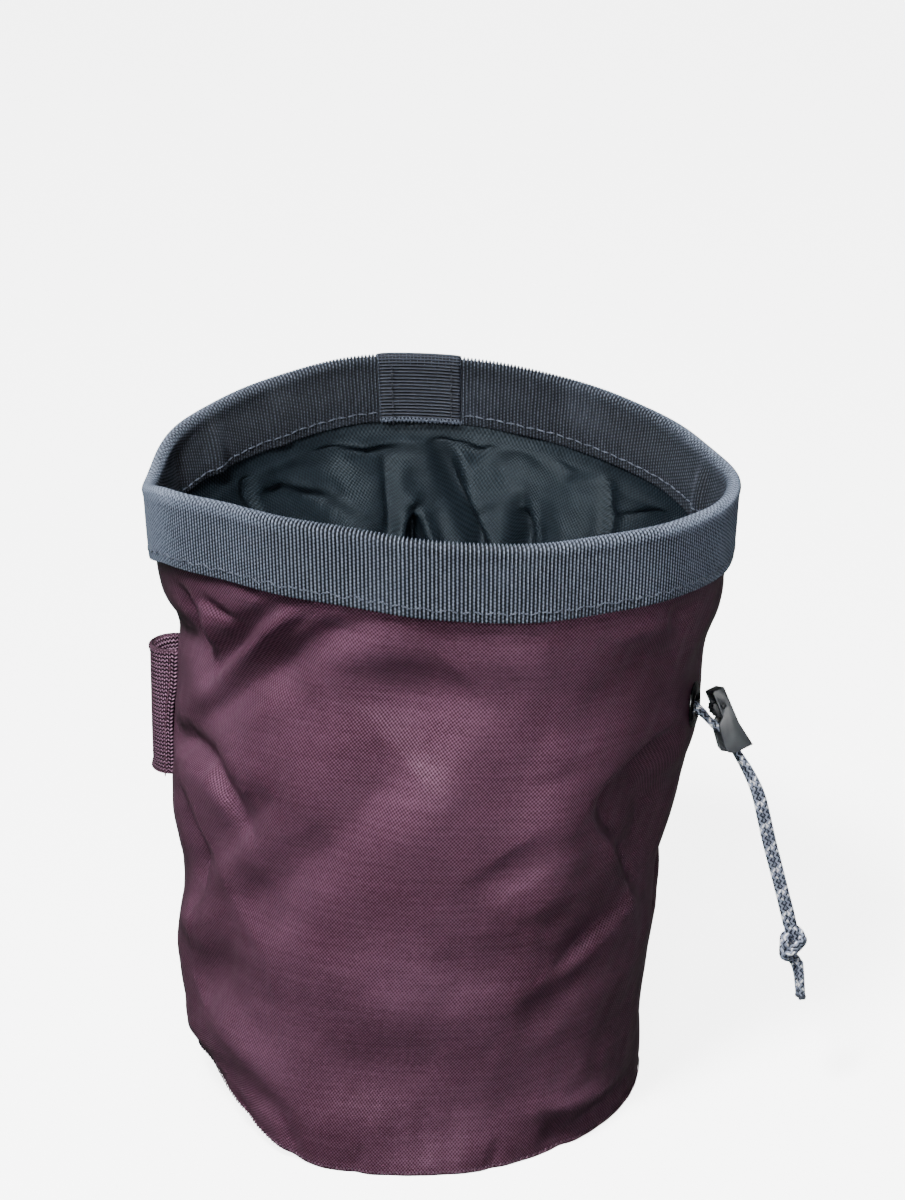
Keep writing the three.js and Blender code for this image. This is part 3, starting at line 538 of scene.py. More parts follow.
def read_table(rows, column, at):
    x, y = rows[:, 0], rows[:, column]
    at = np.clip(at, x[0], x[-1])
    i = np.clip(np.searchsorted(x, at) - 1, 0, len(x) - 2)
    before, after = np.maximum(i - 1, 0), np.minimum(i + 2, len(x) - 1)
    span = x[i + 1] - x[i]
    t = (at - x[i]) / span
    leave = span * (y[i + 1] - y[before]) / (x[i + 1] - x[before])
    arrive = span * (y[after] - y[i]) / (x[after] - x[i])
    rest = 1 - t
    return rest**2 * ((1 + 2 * t) * y[i] + t * leave) + t**2 * ((1 + 2 * rest) * y[i + 1] - rest * arrive)


def wrap(angle):
    return (np.asarray(angle, float) + 180) % 360 - 180


def ease(x, low, high):
    t = np.clip((np.asarray(x, float) - low) / (high - low), 0, 1)
    return t * t * (3 - 2 * t)


def corner(angle, share, bend=1.3):
    """How much the base's curled corner counts at a place of the wall."""
    near = 1 - ease(np.abs(wrap(angle - CORNER_ANGLE)), 0, CORNER_SPREAD)
    return near * (1 - np.clip(share / CORNER_RISE, 0, 1)) ** bend


def wall_height(angle, share):
    rise = read_table(rim_round, 2, wrap(angle)) * ease(share, 0, 0.85)
    return (share + rise) * BAG_HEIGHT + CORNER_LIFT * corner(angle, share)


def plain_radius(angle, share):
    flare = read_table(SECTIONS, 1, share)
    reach = 1 + (read_table(rim_round, 1, wrap(angle)) - 1) * ease(share, 0.3, 1)
    return (BASE_RADIUS + (wall_top - BASE_RADIUS) * flare) * reach - CORNER_PULL * corner(angle, share, 1.8)


def polar(angle, radius, share, height):
    turn = np.radians(angle)
    middle = TOP_SHIFT * read_table(SECTIONS, 2, share)
    return np.stack(
        np.broadcast_arrays(middle + radius * np.cos(turn), radius * np.sin(turn), height), -1
    )


# %% [markdown]
# A fold is a line on the unrolled cloth with a depth and a width on either side. A valley has a negative
# depth. A soft fold has two equal wide sides, and a crease has one narrow side, where the cloth turns
# sharply. Every fold was placed by reading where its shade lies on the real bag.


# %% Helper for folds
def fold_field(x, y, folds):
    """Sum of folds at places x, y in millimetres. A fold is (points, depth, left width, right width)."""
    total = np.zeros(np.broadcast(x, y).shape)
    for points, depth, left, right in folds:
        points = np.asarray(points, float)
        steps = np.linalg.norm(np.diff(points, axis=0), axis=1)
        run = np.concatenate([[0], np.cumsum(steps)]) / steps.sum()
        best = np.full(total.shape, 1e9)
        value = np.zeros(total.shape)
        for (x0, y0), (x1, y1), begin, stop, step in zip(points, points[1:], run, run[1:], steps):
            dx, dy = (x1 - x0) / step, (y1 - y0) / step
            t = np.clip(((x - x0) * dx + (y - y0) * dy) / step, 0, 1)
            off_x, off_y = x - x0 - t * step * dx, y - y0 - t * step * dy
            away = np.hypot(off_x, off_y)
            width = np.where(dx * off_y - dy * off_x > 0, left, right)
            along = begin + t * (stop - begin)
            fade = np.clip(np.sin(np.pi * np.clip(along, 0.04, 0.96)), 0, 1) ** 0.5
            made = fade * np.exp(-((away / width) ** 2))
            value = np.where(away < best, made, value)
            best = np.minimum(away, best)
        total += depth * value
    return total


def ripple(x, y, seed, count, low, high):
    """Gentle unevenness: waves with fixed random directions that close round the bag. About 1 high."""
    pick = np.random.default_rng(seed)
    total = np.zeros(np.broadcast(x, y).shape)
    for _ in range(count):
        wave = pick.uniform(low, high)
        turn = pick.uniform(0, math.pi)
        k = round(ROUND_MM * math.cos(turn) / wave)
        total += np.cos(2 * math.pi * (k * x / ROUND_MM + math.sin(turn) * y / wave) + pick.uniform(0, 6.28))
    return total / math.sqrt(count)


# %% Folds of the wall
# points as angle and share of the height; depth, width left of the line and width right of it in millimetres
FOLDS = [
    # front left, under the band
    ([(-180, 0.79), (-165, 0.782), (-152, 0.77)], -2.6, 4, 5),
    ([(-153.8, 0.848), (-150.8, 0.82), (-150.2, 0.77)], -3.2, 1.8, 4),
    ([(-146, 0.845), (-141.5, 0.834), (-137, 0.826)], -2.0, 1.6, 1.8),
    ([(-145.5, 0.826), (-146.8, 0.764)], 1.6, 2.5, 2.2),
    ([(-123, 0.875), (-134.8, 0.808), (-150.2, 0.718)], -3.0, 2.4, 3),
    ([(-118.8, 0.87), (-129.8, 0.804), (-144.2, 0.732)], 1.5, 2.2, 2.2),
    ([(-115, 0.875), (-132, 0.772)], -1.2, 1.4, 1.6),
    ([(-102, 0.885), (-118.8, 0.812), (-133.5, 0.73), (-147.2, 0.662), (-161, 0.622)], -3.0, 4.4, 3.6),
    ([(-100, 0.85), (-120, 0.75), (-140, 0.655)], 1.3, 7, 6),
    ([(-121.5, 0.76), (-125, 0.716)], -0.9, 6, 6),
    # left side
    ([(-176, 0.6), (-160, 0.598), (-147, 0.588), (-140.2, 0.558), (-135.5, 0.515)], -3.9, 4, 3),
    ([(-125.8, 0.582), (-134.8, 0.508), (-148, 0.428)], -2.2, 3.5, 6.5),
    ([(-159.5, 0.508), (-153.8, 0.436), (-156.8, 0.358)], -3.4, 2.2, 6),
    ([(-150, 0.47), (-164, 0.33)], -1.6, 8, 8),
    ([(-169, 0.314), (-155.5, 0.3)], 1.6, 5, 5),
    # front
    ([(-88, 0.82), (-96, 0.76), (-104, 0.7)], -3.2, 11, 10),
    ([(-94, 0.66), (-108.8, 0.51), (-125, 0.412), (-141.2, 0.356)], -4.8, 11, 8),
    ([(-84, 0.7), (-95.8, 0.562), (-113.2, 0.446), (-137.5, 0.314)], 2.4, 9, 8),
    ([(-133.5, 0.356), (-145.5, 0.266), (-155.8, 0.182)], -2.6, 8, 7),
    ([(-62, 0.64), (-61, 0.52), (-60, 0.4)], 2.6, 9, 9),
    ([(-72, 0.53), (-66, 0.47)], -1.6, 10, 11),
    ([(-58, 0.405), (-61, 0.37)], -1.0, 4, 5),
    # front right
    ([(-30, 0.49), (-43, 0.50)], 1.3, 4, 5),
    ([(2, 0.56), (0, 0.3), (0, 0.06)], -0.9, 20, 18),
    ([(-32, 0.4), (-45, 0.36), (-58, 0.315)], -2.4, 2.6, 6),
    ([(-52, 0.845), (-42.8, 0.85), (-35.2, 0.845)], 1.3, 3, 3),
    ([(-50, 0.815), (-38, 0.79), (-30, 0.79)], -1.4, 3, 5),
    ([(-38.5, 0.872), (-26.2, 0.862)], -1.8, 2.5, 2.5),
    ([(-38.5, 0.862), (-29, 0.824)], -1.8, 2, 3),
    # foot
    ([(-166, 0.3), (-129, 0.345), (-108, 0.335)], 1.6, 9, 8),
    ([(-158, 0.2), (-139, 0.242), (-124, 0.27)], -1.6, 7, 8),
    ([(-156, 0.196), (-141, 0.164), (-128, 0.134), (-113, 0.085)], 1.3, 6, 6),
    ([(-150, 0.07), (-140, 0.078), (-127, 0.07), (-112, 0.035)], -0.5, 5, 5),
    ([(-118, 0.2), (-93, 0.165), (-70, 0.12)], -2.2, 12, 12),
    ([(-66, 0.24), (-48, 0.29)], -1.4, 5, 6),
    ([(-58, 0.08), (-46, 0.068), (-30, 0.056)], 1.3, 2.6, 2.6),
    ([(-54, 0.02), (-36, 0.028), (-18, 0.036)], -1.8, 3, 4),
    ([(-54, 0.06), (-48, -0.01)], -1.6, 2.5, 4),
    ([(-137, 0.04), (-133, -0.01)], -0.6, 2, 3),
    ([(-121, 0.05), (-118, -0.01)], -1.4, 3, 2),
    ([(-101, 0.05), (-103, -0.01)], -1.0, 2, 2.5),
    ([(-94, 0.13), (-93, 0.0)], -0.5, 3, 3),
    ([(-86, 0.12), (-87, 0.0)], -0.5, 2.5, 3),
    ([(-79, 0.1), (-80, 0.0)], -0.45, 2.5, 3),
    ([(-68, 0.05), (-70, -0.01)], -0.9, 2, 2),
    # back
    ([(60, 0.72), (41, 0.58), (22, 0.45)], -2.6, 13, 12),
    ([(74, 0.4), (55, 0.32), (36, 0.24)], 1.8, 12, 12),
    ([(128, 0.74), (141, 0.54), (152, 0.34)], -2.6, 12, 12),
    ([(112, 0.34), (97, 0.24), (82, 0.16)], -2.2, 12, 12),
    ([(62, 0.8), (48, 0.74), (30, 0.7)], -2.2, 2.4, 5),
    ([(140, 0.82), (150, 0.72), (164, 0.68)], -2.4, 2.4, 5),
    ([(118, 0.5), (134, 0.42), (156, 0.4)], -2.0, 5, 2.6),
    ([(60, 0.52), (44, 0.42), (40, 0.3)], -2.2, 2.6, 6),
    ([(98, 0.3), (84, 0.24), (60, 0.25)], 1.6, 5, 5),
    ([(10, 0.5), (4, 0.4), (-8, 0.33)], -2.2, 2.6, 6),
    ([(20, 0.86), (8, 0.82), (-4, 0.85)], -1.8, 2.2, 4),
    ([(100, 0.86), (112, 0.82), (126, 0.84)], -1.6, 2.2, 4),
    ([(66, 0.06), (60, -0.01)], -1.3, 3, 2),
    ([(152, 0.07), (158, -0.01)], -1.3, 2, 3),
]


# the line down the right side past which the cloth falls into a hollow, as share of the height and angle
HOLLOW_EDGE = np.array([
    (0.3, -26), (0.36, -30), (0.406, -34), (0.482, -43), (0.534, -49.5), (0.574, -51.5), (0.608, -48.5),
    (0.638, -41), (0.674, -30), (0.72, -22),
])
HOLLOW_DEPTH = 6.4


def hollow(angle, share):
    past = (wrap(angle) - read_table(HOLLOW_EDGE, 1, share)) * MEAN_ARC
    reach = 1 - ease(wrap(angle), -27, -2)
    tall = ease(share, 0.27, 0.49) * (1 - ease(share, 0.6, 0.7))
    return -HOLLOW_DEPTH * ease(past, -2, 8) * reach * tall


def unrolled(rows, turn, up):
    """Fold rows with their points in millimetres of cloth, moved by whole turns of the bag."""
    return [
        ([((a + turn) * MEAN_ARC, b * up) for a, b in points], depth, left, right)
        for points, depth, left, right in rows
    ]


def wall_folds(angle, share):
    x, y = angle * MEAN_ARC, share * HEIGHT_MM
    total = sum(fold_field(x, y, unrolled(FOLDS, turn, HEIGHT_MM)) for turn in (-360, 0, 360))
    total = total + hollow(angle, share) + 0.34 * ripple(x, y, 4, 16, 16, 42) + 0.09 * ripple(x, y, 9, 14, 6, 14)
    fade = (0.7 + 0.3 * ease(share, 0, 0.05)) * (1 - ease(share, 0.84, 0.89))
    return total * fade / 1000


# %% [markdown]
# The eyelet is pressed on a flat patch of the cloth, so the wall is drawn flat round it.

# %% The wall's surface
EYELET_ANGLE, EYELET_HEIGHT, EYELET_FLAT, EYELET_BLEND = -15, 0.101, 0.007, 0.023
low, high = 0.0, 1.0
for _ in range(30):
    half = (low + high) / 2
    low, high = (half, high) if wall_height(EYELET_ANGLE, half) < EYELET_HEIGHT else (low, half)
eyelet_share = (low + high) / 2
eyelet_radius = float(plain_radius(EYELET_ANGLE, eyelet_share))
eyelet_place = polar(EYELET_ANGLE, eyelet_radius, eyelet_share, EYELET_HEIGHT)
eyelet_normal = outward(EYELET_ANGLE)


def wall_point(angle, share, out=0.0):
    angle, share = np.broadcast_arrays(np.asarray(angle, float), np.asarray(share, float))
    height = wall_height(angle, share)
    point = polar(angle, plain_radius(angle, share) + wall_folds(angle, share) + out, share, height)
    away = np.hypot(np.radians(wrap(angle - EYELET_ANGLE)) * eyelet_radius, height - EYELET_HEIGHT)
    flat = 1 - ease(away, EYELET_FLAT, EYELET_BLEND)
    ahead = (point - eyelet_place) @ eyelet_normal - out
    return point - (ahead * flat)[..., None] * eyelet_normal


def share_at(angle, height):
    low, high = np.zeros_like(np.asarray(angle, float)), np.ones_like(np.asarray(angle, float))
    for _ in range(30):
        half_way = (low + high) / 2
        under = wall_height(angle, half_way) < height
        low, high = np.where(under, half_way, low), np.where(under, high, half_way)
    return (low + high) / 2


print("eyelet at", [round(1000 * float(x), 1) for x in eyelet_place])

# %% [markdown]
# ## Wall
# The wall is one tube of coated nylon. Its seam is at the left, under the brush loop. A grid of 330 columns
# follows the folds closely, with more of them in front, and a second layer gives the cloth its thickness.

# %% Wall
SEAM_ANGLE, FOOT_PULL, FOOT_RISE, WALL_END, HOLE_RADIUS = 172, 0.003, 0.12, 0.925, 0.0033


def foot_pull(angle):
    return FOOT_PULL * ease(np.abs(wrap(angle + 80)), 80, 110)


columns = 330
spread_out = np.linspace(SEAM_ANGLE - 360, SEAM_ANGLE, 3601)
crowding = np.cumsum(0.8 + 0.9 * ease(np.abs(wrap(spread_out + 104)), 100, 78))
uv_angle = np.interp(np.linspace(crowding[0], crowding[-1], columns + 1), crowding, spread_out)
shares = np.concatenate([
    [0, 0.002, 0.005], np.linspace(0.009, band_share + 0.006, 138), np.linspace(0.905, WALL_END, 4),
])
grid_angle, grid_share = np.meshgrid(uv_angle[:-1], shares, indexing="ij")
foot = foot_pull(grid_angle) * (1 - np.clip(grid_share / FOOT_RISE, 0, 1)) ** 2
points = wall_point(grid_angle, grid_share, -foot)
wall = grid_piece("wall", points, cloth_grid(uv_angle * MEAN_ARC, shares * HEIGHT_MM), ring=True)
middle = Vector(eyelet_place)
with edited(wall) as work:
    near = [f for f in work.faces if (f.calc_center_median() - middle).length < HOLE_RADIUS]
    bmesh.ops.delete(work, geom=near, context="FACES")
thicken(wall, SHELL_THICKNESS)
print("wall:", len(wall.data.polygons), "faces; hole from", len(near), "faces")

# %% [markdown]
# ## Base
# The round base is sewn inside the wall's foot. It lies flat where the bag stands, and curls up with the
# pinched corner at the front left.

# %% Base
BASE_SEAT, BASE_THICKNESS, BASE_BITE, BASE_CLOTH_MM = 0.008, 0.0012, 0.0001, 54
rings = np.concatenate([[0.012, 0.1, 0.2, 0.3, 0.4, 0.5], np.linspace(0.56, 1, 22)])
base_columns = 180
angles = 360 * np.arange(base_columns) / base_columns
grid_angle, grid_ring = np.meshgrid(angles, rings, indexing="ij")
foot = foot_pull(grid_angle) * (1 - BASE_SEAT / FOOT_RISE) ** 2
edge = plain_radius(grid_angle, BASE_SEAT) + wall_folds(grid_angle, BASE_SEAT + 0 * grid_ring) - foot
edge = edge - SHELL_THICKNESS + BASE_BITE
lift = CORNER_LIFT * corner(grid_angle, 0) * ease(grid_ring, 0.55, 1)
reach = 1000 * edge * grid_ring
x, y = reach * np.cos(np.radians(grid_angle)), reach * np.sin(np.radians(grid_angle))
uneven = 0.10 * (1 + ripple(x, y, 21, 12, 14, 40)) * ease(grid_ring, 0, 0.3) * (1 - ease(grid_ring, 0.9, 1))
points = polar(grid_angle, edge * grid_ring, 0.0, lift + BASE_THICKNESS + np.clip(uneven, 0, 0.4) / 1000)
uv_angle = 360 * np.arange(base_columns + 1) / base_columns
flat_angle, flat_ring = np.meshgrid(np.radians(uv_angle), rings, indexing="ij")
cloth = BASE_CLOTH_MM * np.stack([flat_ring * np.cos(flat_angle), flat_ring * np.sin(flat_angle)], -1)
base_panel = grid_piece("base_cloth", points, cloth, ring=True)
with edited(base_panel) as work:
    inner = [e for e in work.edges if e.is_boundary and e.verts[0].co.xy.length < 0.01]
    bmesh.ops.holes_fill(work, edges=inner)
    bmesh.ops.recalc_face_normals(work, faces=work.faces)
base_panel.data.shade_smooth()
face_towards(base_panel, 0, (0, 0, 1))
thicken(base_panel, BASE_THICKNESS)
print("base:", len(base_panel.data.polygons), "faces")

# %% [markdown]
# ## Band
# The mouth is bound with ribbed webbing, folded over so that one half shows outside and the other inside.
# The ribs stand across the band. Each rib is real, four columns of the mesh wide, because the ribs make the
# beaded edge of the fold. A Geometry Nodes tree raises them from the number that each point carries.

# %% Tree for ribs
rib_tree, given = new_tree("ribs", Rib_depth="Float", Sharpness="Float", Material="Material")
rib = put(rib_tree, "GeometryNodeInputNamedAttribute", {"Name": "rib"}, data_type="FLOAT")
strength = put(rib_tree, "GeometryNodeInputNamedAttribute", {"Name": "rib_strength"}, data_type="FLOAT")
wave = unit_wave(rib_tree, "COSINE", math_node(rib_tree, "MULTIPLY", rib, 2 * math.pi))
wave = math_node(rib_tree, "POWER", wave, given["Sharpness"])
wave = math_node(rib_tree, "SUBTRACT", wave, 0.5)
height = math_node(rib_tree, "MULTIPLY", wave, given["Rib depth"])
height = math_node(rib_tree, "MULTIPLY", height, strength)
lifted = scaled(rib_tree, put(rib_tree, "GeometryNodeInputNormal"), height)
raised = put(rib_tree, "GeometryNodeSetPosition", {"Geometry": given["Geometry"], "Offset": lifted})
smooth = put(rib_tree, "GeometryNodeSetShadeSmooth", {"Geometry": raised})
close_tree(rib_tree, smooth, given["Material"])


def number_points(piece, **values):
    """Stores a number at every point under each of the given labels."""
    for label, numbers in values.items():
        attribute = piece.data.attributes.new(label, "FLOAT", "POINT")
        attribute.data.foreach_set("value", np.ravel(numbers).astype(np.float32))


# %% [markdown]
# Webbing ribs are pale where the yarn stands up, and the near black between them is painted shade in the gaps.
# Small beads run along each rib, where the crossing yarns pass, half a step out from one rib to the next.


# %% Finish: webbing
# in millimetres: from one bead to the next, and the stretch over the rim along which painted shade darkens the
# band, staying dark on its inside face
BEAD_PITCH, RIM_SHADE_START, RIM_SHADE_END = 0.84, 17.0, 21.0


def webbing_finish(name, pale, dark, beads, swap=False):
    """The UV map holds the rib number across the ribs and millimetres along them, or the other way round."""
    material, tree, shader = new_material(name, Roughness=0.7, Specular_IOR_Level=0.2)
    uv = put(tree, "ShaderNodeSeparateXYZ", {"Vector": put(tree, "ShaderNodeUVMap", uv_map="cloth")})
    ribs, along = (uv.outputs[1], uv.outputs[0]) if swap else (uv.outputs[0], uv.outputs[1])
    crest = unit_wave(tree, "COSINE", math_node(tree, "MULTIPLY", ribs, 2 * math.pi))
    shift = math_node(tree, "MULTIPLY", math_node(tree, "ROUND", ribs), math.pi)
    bead = unit_wave(tree, "SINE", math_node(tree, "MULTIPLY_ADD", along, 2 * math.pi / BEAD_PITCH, shift))
    broad = noise(tree, 60.0, 3.0)
    fine = noise(tree, 1900.0, 2.0)
    tone = math_node(tree, "MULTIPLY", crest, math_node(tree, "MULTIPLY_ADD", bead, beads, 1 - beads))
    tone = add_grain(tree, tone, fine, 0.5)
    # painted shade: the tone falls to 0.56 over the rim's fold and stays there down the band's inside face
    bend = put(tree, "ShaderNodeMapRange", {
        "Value": along, "From Min": RIM_SHADE_START, "From Max": RIM_SHADE_END, "To Min": 1.0, "To Max": 0.56,
    })
    tone = math_node(tree, "MULTIPLY", tone, bend)
    middle = tuple(0.3 * a + 0.7 * b for a, b in zip(pale, dark))
    # the ribs are the webbing's own pattern; the dark stop is painted shade between them
    colour = ramp(tree, tone, (0.3, dark), (0.56, middle), (0.86, pale))
    worn = add_grain(tree, 0.0, broad, 0.2)
    colour = mix(tree, worn, colour, pale)
    paint(tree, shader, colour)
    height = math_node(tree, "MULTIPLY_ADD", crest, 0.6, math_node(tree, "MULTIPLY", bead, 0.7 * beads))
    bump(tree, shader, height, 0.00022, 0.8)
    return material


# the second colour is painted shade between the ribs
webbing_slate = webbing_finish("webbing_slate", (0.134, 0.161, 0.216), (0.003, 0.004, 0.006), 0.36)

# %% Band
RIBS, RIB_COLUMNS = 456, 4
columns = RIB_COLUMNS * RIBS
angles = -180 + 360 * np.arange(columns) / columns
outer = GAP + WEBBING
half = FOLD_THICKNESS / 2


def band_depth(share):
    """Thickness of the whole bound edge: thick over the sewn layers, thin at the fold."""
    return band_thickness + (FOLD_THICKNESS - band_thickness) * ease(share, band_share + 0.035, 0.985)


# angle, depth and half width in millimetres of the dents in the band's inside
BAND_DENTS = [(148.5, 1.3, 2.6), (128.5, 0.8, 3), (162, -0.9, 3), (17, 1.1, 2.4), (64, -0.5, 5)]


def band_dents(angle):
    away = [(wrap(angle - at) * MEAN_ARC / width, depth) for at, depth, width in BAND_DENTS]
    return sum(depth * np.exp(-(off**2)) for off, depth in away) / 1000


def band_wave(angle):
    return 0.00025 * np.cos(np.radians(9 * angle)) + 0.0002 * np.sin(np.radians(14 * angle))


def band_outline(angle):
    """Points round the band's section at each angle: out, up, over, down inside, and back within."""
    back = ease(np.abs(wrap(angle - 100)), 95, 60)
    left = ease(np.abs(wrap(angle - 160)), 30, 5)
    inner_share = band_share + (0.0017 * back + 0.001 * left) / BAG_HEIGHT
    dents, wave = band_dents(angle), band_wave(angle)
    face = []

    def add(share, out, inside=0.0, turn=None, reach=0.0):
        p = wall_point(angle, np.full_like(angle, 1.0) * share, out + wave - dents * inside)
        if turn is not None:
            p = wall_point(angle, np.full_like(angle, share), outer - half + reach * math.cos(turn) + wave)
            p[..., 2] += reach * math.sin(turn)
        face.append(p)

    for t in (0, 0.018, *np.linspace(0.11, 1, 9)):
        add(band_share + t * (shoulder_share - band_share), outer)
    for turn in np.radians(np.arange(22.5, 180, 22.5)):
        add(shoulder_share, 0, turn=turn, reach=half)
    for t in (*np.linspace(0, 0.9, 8), 0.982, 1):
        share = shoulder_share + t * (inner_share - shoulder_share)
        add(share, outer - band_depth(share), inside=ease(t, 0, 0.35))
    add(inner_share, outer - band_thickness + WEBBING, inside=1.0)
    add(WALL_END, outer - band_depth(WALL_END) + WEBBING)
    add(shoulder_share, outer - half - 0.0002)
    add(shoulder_share, outer - half + 0.0002)
    add(band_share, outer - WEBBING)
    return np.stack(face, 1)


points = band_outline(angles)
count = points.shape[1]
steps = np.linalg.norm(np.diff(np.concatenate([points[:1], points[:1, :1]], 1), axis=1), axis=2)[0]
along = 1000 * np.concatenate([[0], np.cumsum(steps)])
band = grid_piece("band", points, cloth_grid(np.arange(columns + 1) / RIB_COLUMNS, along), ring=True, loop=True)
shown = np.ones(count)
shown[-5:] = 0
shown[10:19] = 2.2
shown[0] = shown[27] = 0.55
number_points(
    band, rib=np.repeat(np.arange(columns) / RIB_COLUMNS, count), rib_strength=np.tile(shown, columns)
)
recalculate(band)
band = run_tree("rim_webbing", band, rib_tree, {
    "Rib depth": 0.00042, "Sharpness": 0.9, "Material": webbing_slate,
})
print("band:", len(band.data.polygons), "faces,", RIBS, "ribs")

# %% [markdown]
# ## Collar
# Inside hangs a gathered collar of thin dark nylon, drawn in towards its foot, which ends in a rolled hem. Its
# folds are read on the cloth as angle and drop below the band, and push it towards the wall or into the mouth.

# %% Folds of the collar
COLLAR_DROP, COLLAR_RADIUS = 0.046, 0.042
# drop, openness, share of the gathers
COLLAR = np.array([
    (0, 1, 0), (0.12, 0.9, 0.12), (0.3, 0.68, 0.4), (0.55, 0.38, 0.8), (0.8, 0.12, 1), (1, 0, 1),
], float)
# angle at the foot, slant to the band, half width in degrees, millimetres drawn in
GATHERS = [
    (-168, 6, 9, 6.3), (-138, -5, 10, 4.9), (-104, 4, 9, 7), (-72, 8, 10, 5.6),
    (-40, -6, 9, 6.3), (-8, 5, 10, 5.6), (20, -6, 8, 4.9), (46, -5, 8, 6.3),
    (72, 9, 8, 7.7), (99, -3, 7, 5.6), (124, 4, 8, 6.3), (154, -4, 10, 5.6),
]
# points as angle and drop; depth towards the mouth in millimetres, widths left and right of the line
COLLAR_FOLDS = [
    ([(98, 0.36), (98, 0.5), (98, 0.8)], -7.5, 2.6, 2.6),
    ([(98, 0.3), (104, 0.5), (107, 0.75)], 2.6, 1.8, 2.2),
    ([(98, 0.3), (92, 0.5), (89, 0.75)], 2.4, 2.2, 1.8),
    ([(90, 0.05), (86, 0.26), (80, 0.46), (76, 0.8)], -6.5, 3.4, 2.6),
    ([(88, 0.1), (83, 0.3), (75, 0.46)], 1.8, 1.4, 3.5),
    ([(69, 0.28), (67, 0.42), (66, 0.7)], -6, 3.2, 4.4),
    ([(66, 0.26), (63.5, 0.4), (62.5, 0.7)], 2.2, 2.2, 1.2),
    ([(50, -0.02), (47, 0.1), (44, 0.24), (43, 0.5)], -2.6, 1.3, 3.2),
    ([(46, 0.02), (42, 0.14)], 1.0, 3, 3),
    ([(42, 0.16), (36, 0.1), (28, 0.02)], -2.0, 2.4, 1.4),
    ([(104, 0.1), (105, 0.25), (105.5, 0.46)], -1.8, 0.9, 2.4),
    ([(101, 0.12), (101, 0.3)], 1.2, 3, 3),
    ([(139, 0.13), (131, 0.17), (121, 0.3)], -3.6, 2.2, 4.6),
    ([(140, 0.08), (131, 0.115), (119, 0.2), (113, 0.32)], 2.0, 2.8, 2.2),
    ([(124, 0.0), (117, 0.03), (110, 0.09), (102, 0.12)], -1.7, 1.4, 3),
    ([(118, -0.03), (108, 0.02), (99, 0.03)], 1.6, 3, 3),
    ([(140, 0.0), (142, 0.12), (141, 0.3)], -2.6, 2, 2),
    ([(135, 0.08), (122, 0.13), (112, 0.12)], -1.4, 5, 5),
    ([(112, 0.2), (110, 0.34), (112, 0.5)], 2.4, 8, 7),
    ([(88, 0.03), (82, 0.085), (76, 0.0)], -1.8, 1.3, 3),
    ([(82, 0.01), (79, 0.02)], 1.3, 3, 3),
    ([(77, 0.18), (72, 0.08), (69, 0.0)], -1.3, 5, 3.5),
    ([(80, 0.16), (77, 0.3)], 1.6, 6, 5),
    ([(66, -0.01), (59, 0.06), (52, 0.0)], -1.7, 1.5, 3),
    ([(57, 0.12), (54, 0.3), (53, 0.5)], 1.6, 7, 7),
    ([(20, 0.05), (12, 0.2), (10, 0.5)], -2.4, 3, 4),
    ([(-25, 0.06), (-22, 0.3), (-26, 0.7)], -2.6, 2.4, 5),
    ([(-56, 0.04), (-54, 0.3), (-58, 0.8)], -3, 3, 5),
    ([(-88, 0.05), (-90, 0.4), (-86, 0.8)], -2.6, 5, 2.4),
    ([(-121, 0.05), (-120, 0.4), (-124, 0.8)], -3, 2.6, 5),
    ([(-152, 0.05), (-154, 0.4), (-150, 0.8)], -2.6, 5, 3),
    ([(170, 0.05), (168, 0.3), (171, 0.7)], -2.6, 3, 5),
]


def gathers(angle, drop):
    total = np.zeros(np.broadcast(angle, drop).shape)
    for at, slant, width, depth in GATHERS:
        away = wrap(angle - at - slant * (1 - drop)) / width
        share = 1 - 0.75 * (ease(at, 20, 40) - ease(at, 130, 150))
        total += share * depth * np.exp(-(away**2))
    return total


def collar_folds(angle, drop):
    x, y = angle * MEAN_ARC, drop * COLLAR_MM
    total = sum(fold_field(x, -y, unrolled(COLLAR_FOLDS, turn, -COLLAR_MM)) for turn in (-360, 0, 360))
    return 1.25 * total + 0.5 * ripple(x, y, 12, 14, 14, 34) + 0.12 * ripple(x, y, 17, 12, 5, 12)


# %% Collar
CHANNEL, WALL_ROOM = 0.0019, 0.0012
columns = 400
angles = -180 + 360 * np.arange(columns) / columns
clear = GAP + LINING
tuck = np.array([0.005, 0.0025])
drops = np.concatenate([np.linspace(0, 0.12, 14)[:-1], np.linspace(0.12, 1, 66)])
grid_angle, grid_drop = np.meshgrid(angles, drops, indexing="ij")
held = plain_radius(grid_angle, band_share - clear / BAG_HEIGHT) - CLOTH - GAP
top = wall_height(grid_angle, band_share) - clear
openness = read_table(COLLAR, 1, grid_drop)
gathered = read_table(COLLAR, 2, grid_drop)
radius = COLLAR_RADIUS + (held - COLLAR_RADIUS) * openness - gathered * gathers(grid_angle, grid_drop) / 1000
radius -= 0.0009 + 0.0011 * ease(grid_drop, 0, 0.04)
radius -= 0.0008 * ease(grid_drop, 0.04, 0.16) * (1 - ease(grid_drop, 0.5, 0.9))
push = collar_folds(grid_angle, grid_drop) * ease(grid_drop, 0, 0.05) * (1 - 0.5 * ease(grid_drop, 0.8, 1))
hang_height = top - grid_drop * COLLAR_DROP
beside_share = share_at(grid_angle, hang_height)
lean = TOP_SHIFT * np.cos(np.radians(grid_angle)) * (read_table(SECTIONS, 2, beside_share) - 1)
room = plain_radius(grid_angle, beside_share) + wall_folds(grid_angle, beside_share) + lean - CLOTH - WALL_ROOM
room = np.where(grid_drop < 0.04, held, np.minimum(room, held))
push = push / 1000
excess = room - (radius - push)
radius = room - 0.0006 * np.logaddexp(0, excess / 0.0006)
hang = polar(grid_angle, radius, 1.0, hang_height - 0.3 * push)
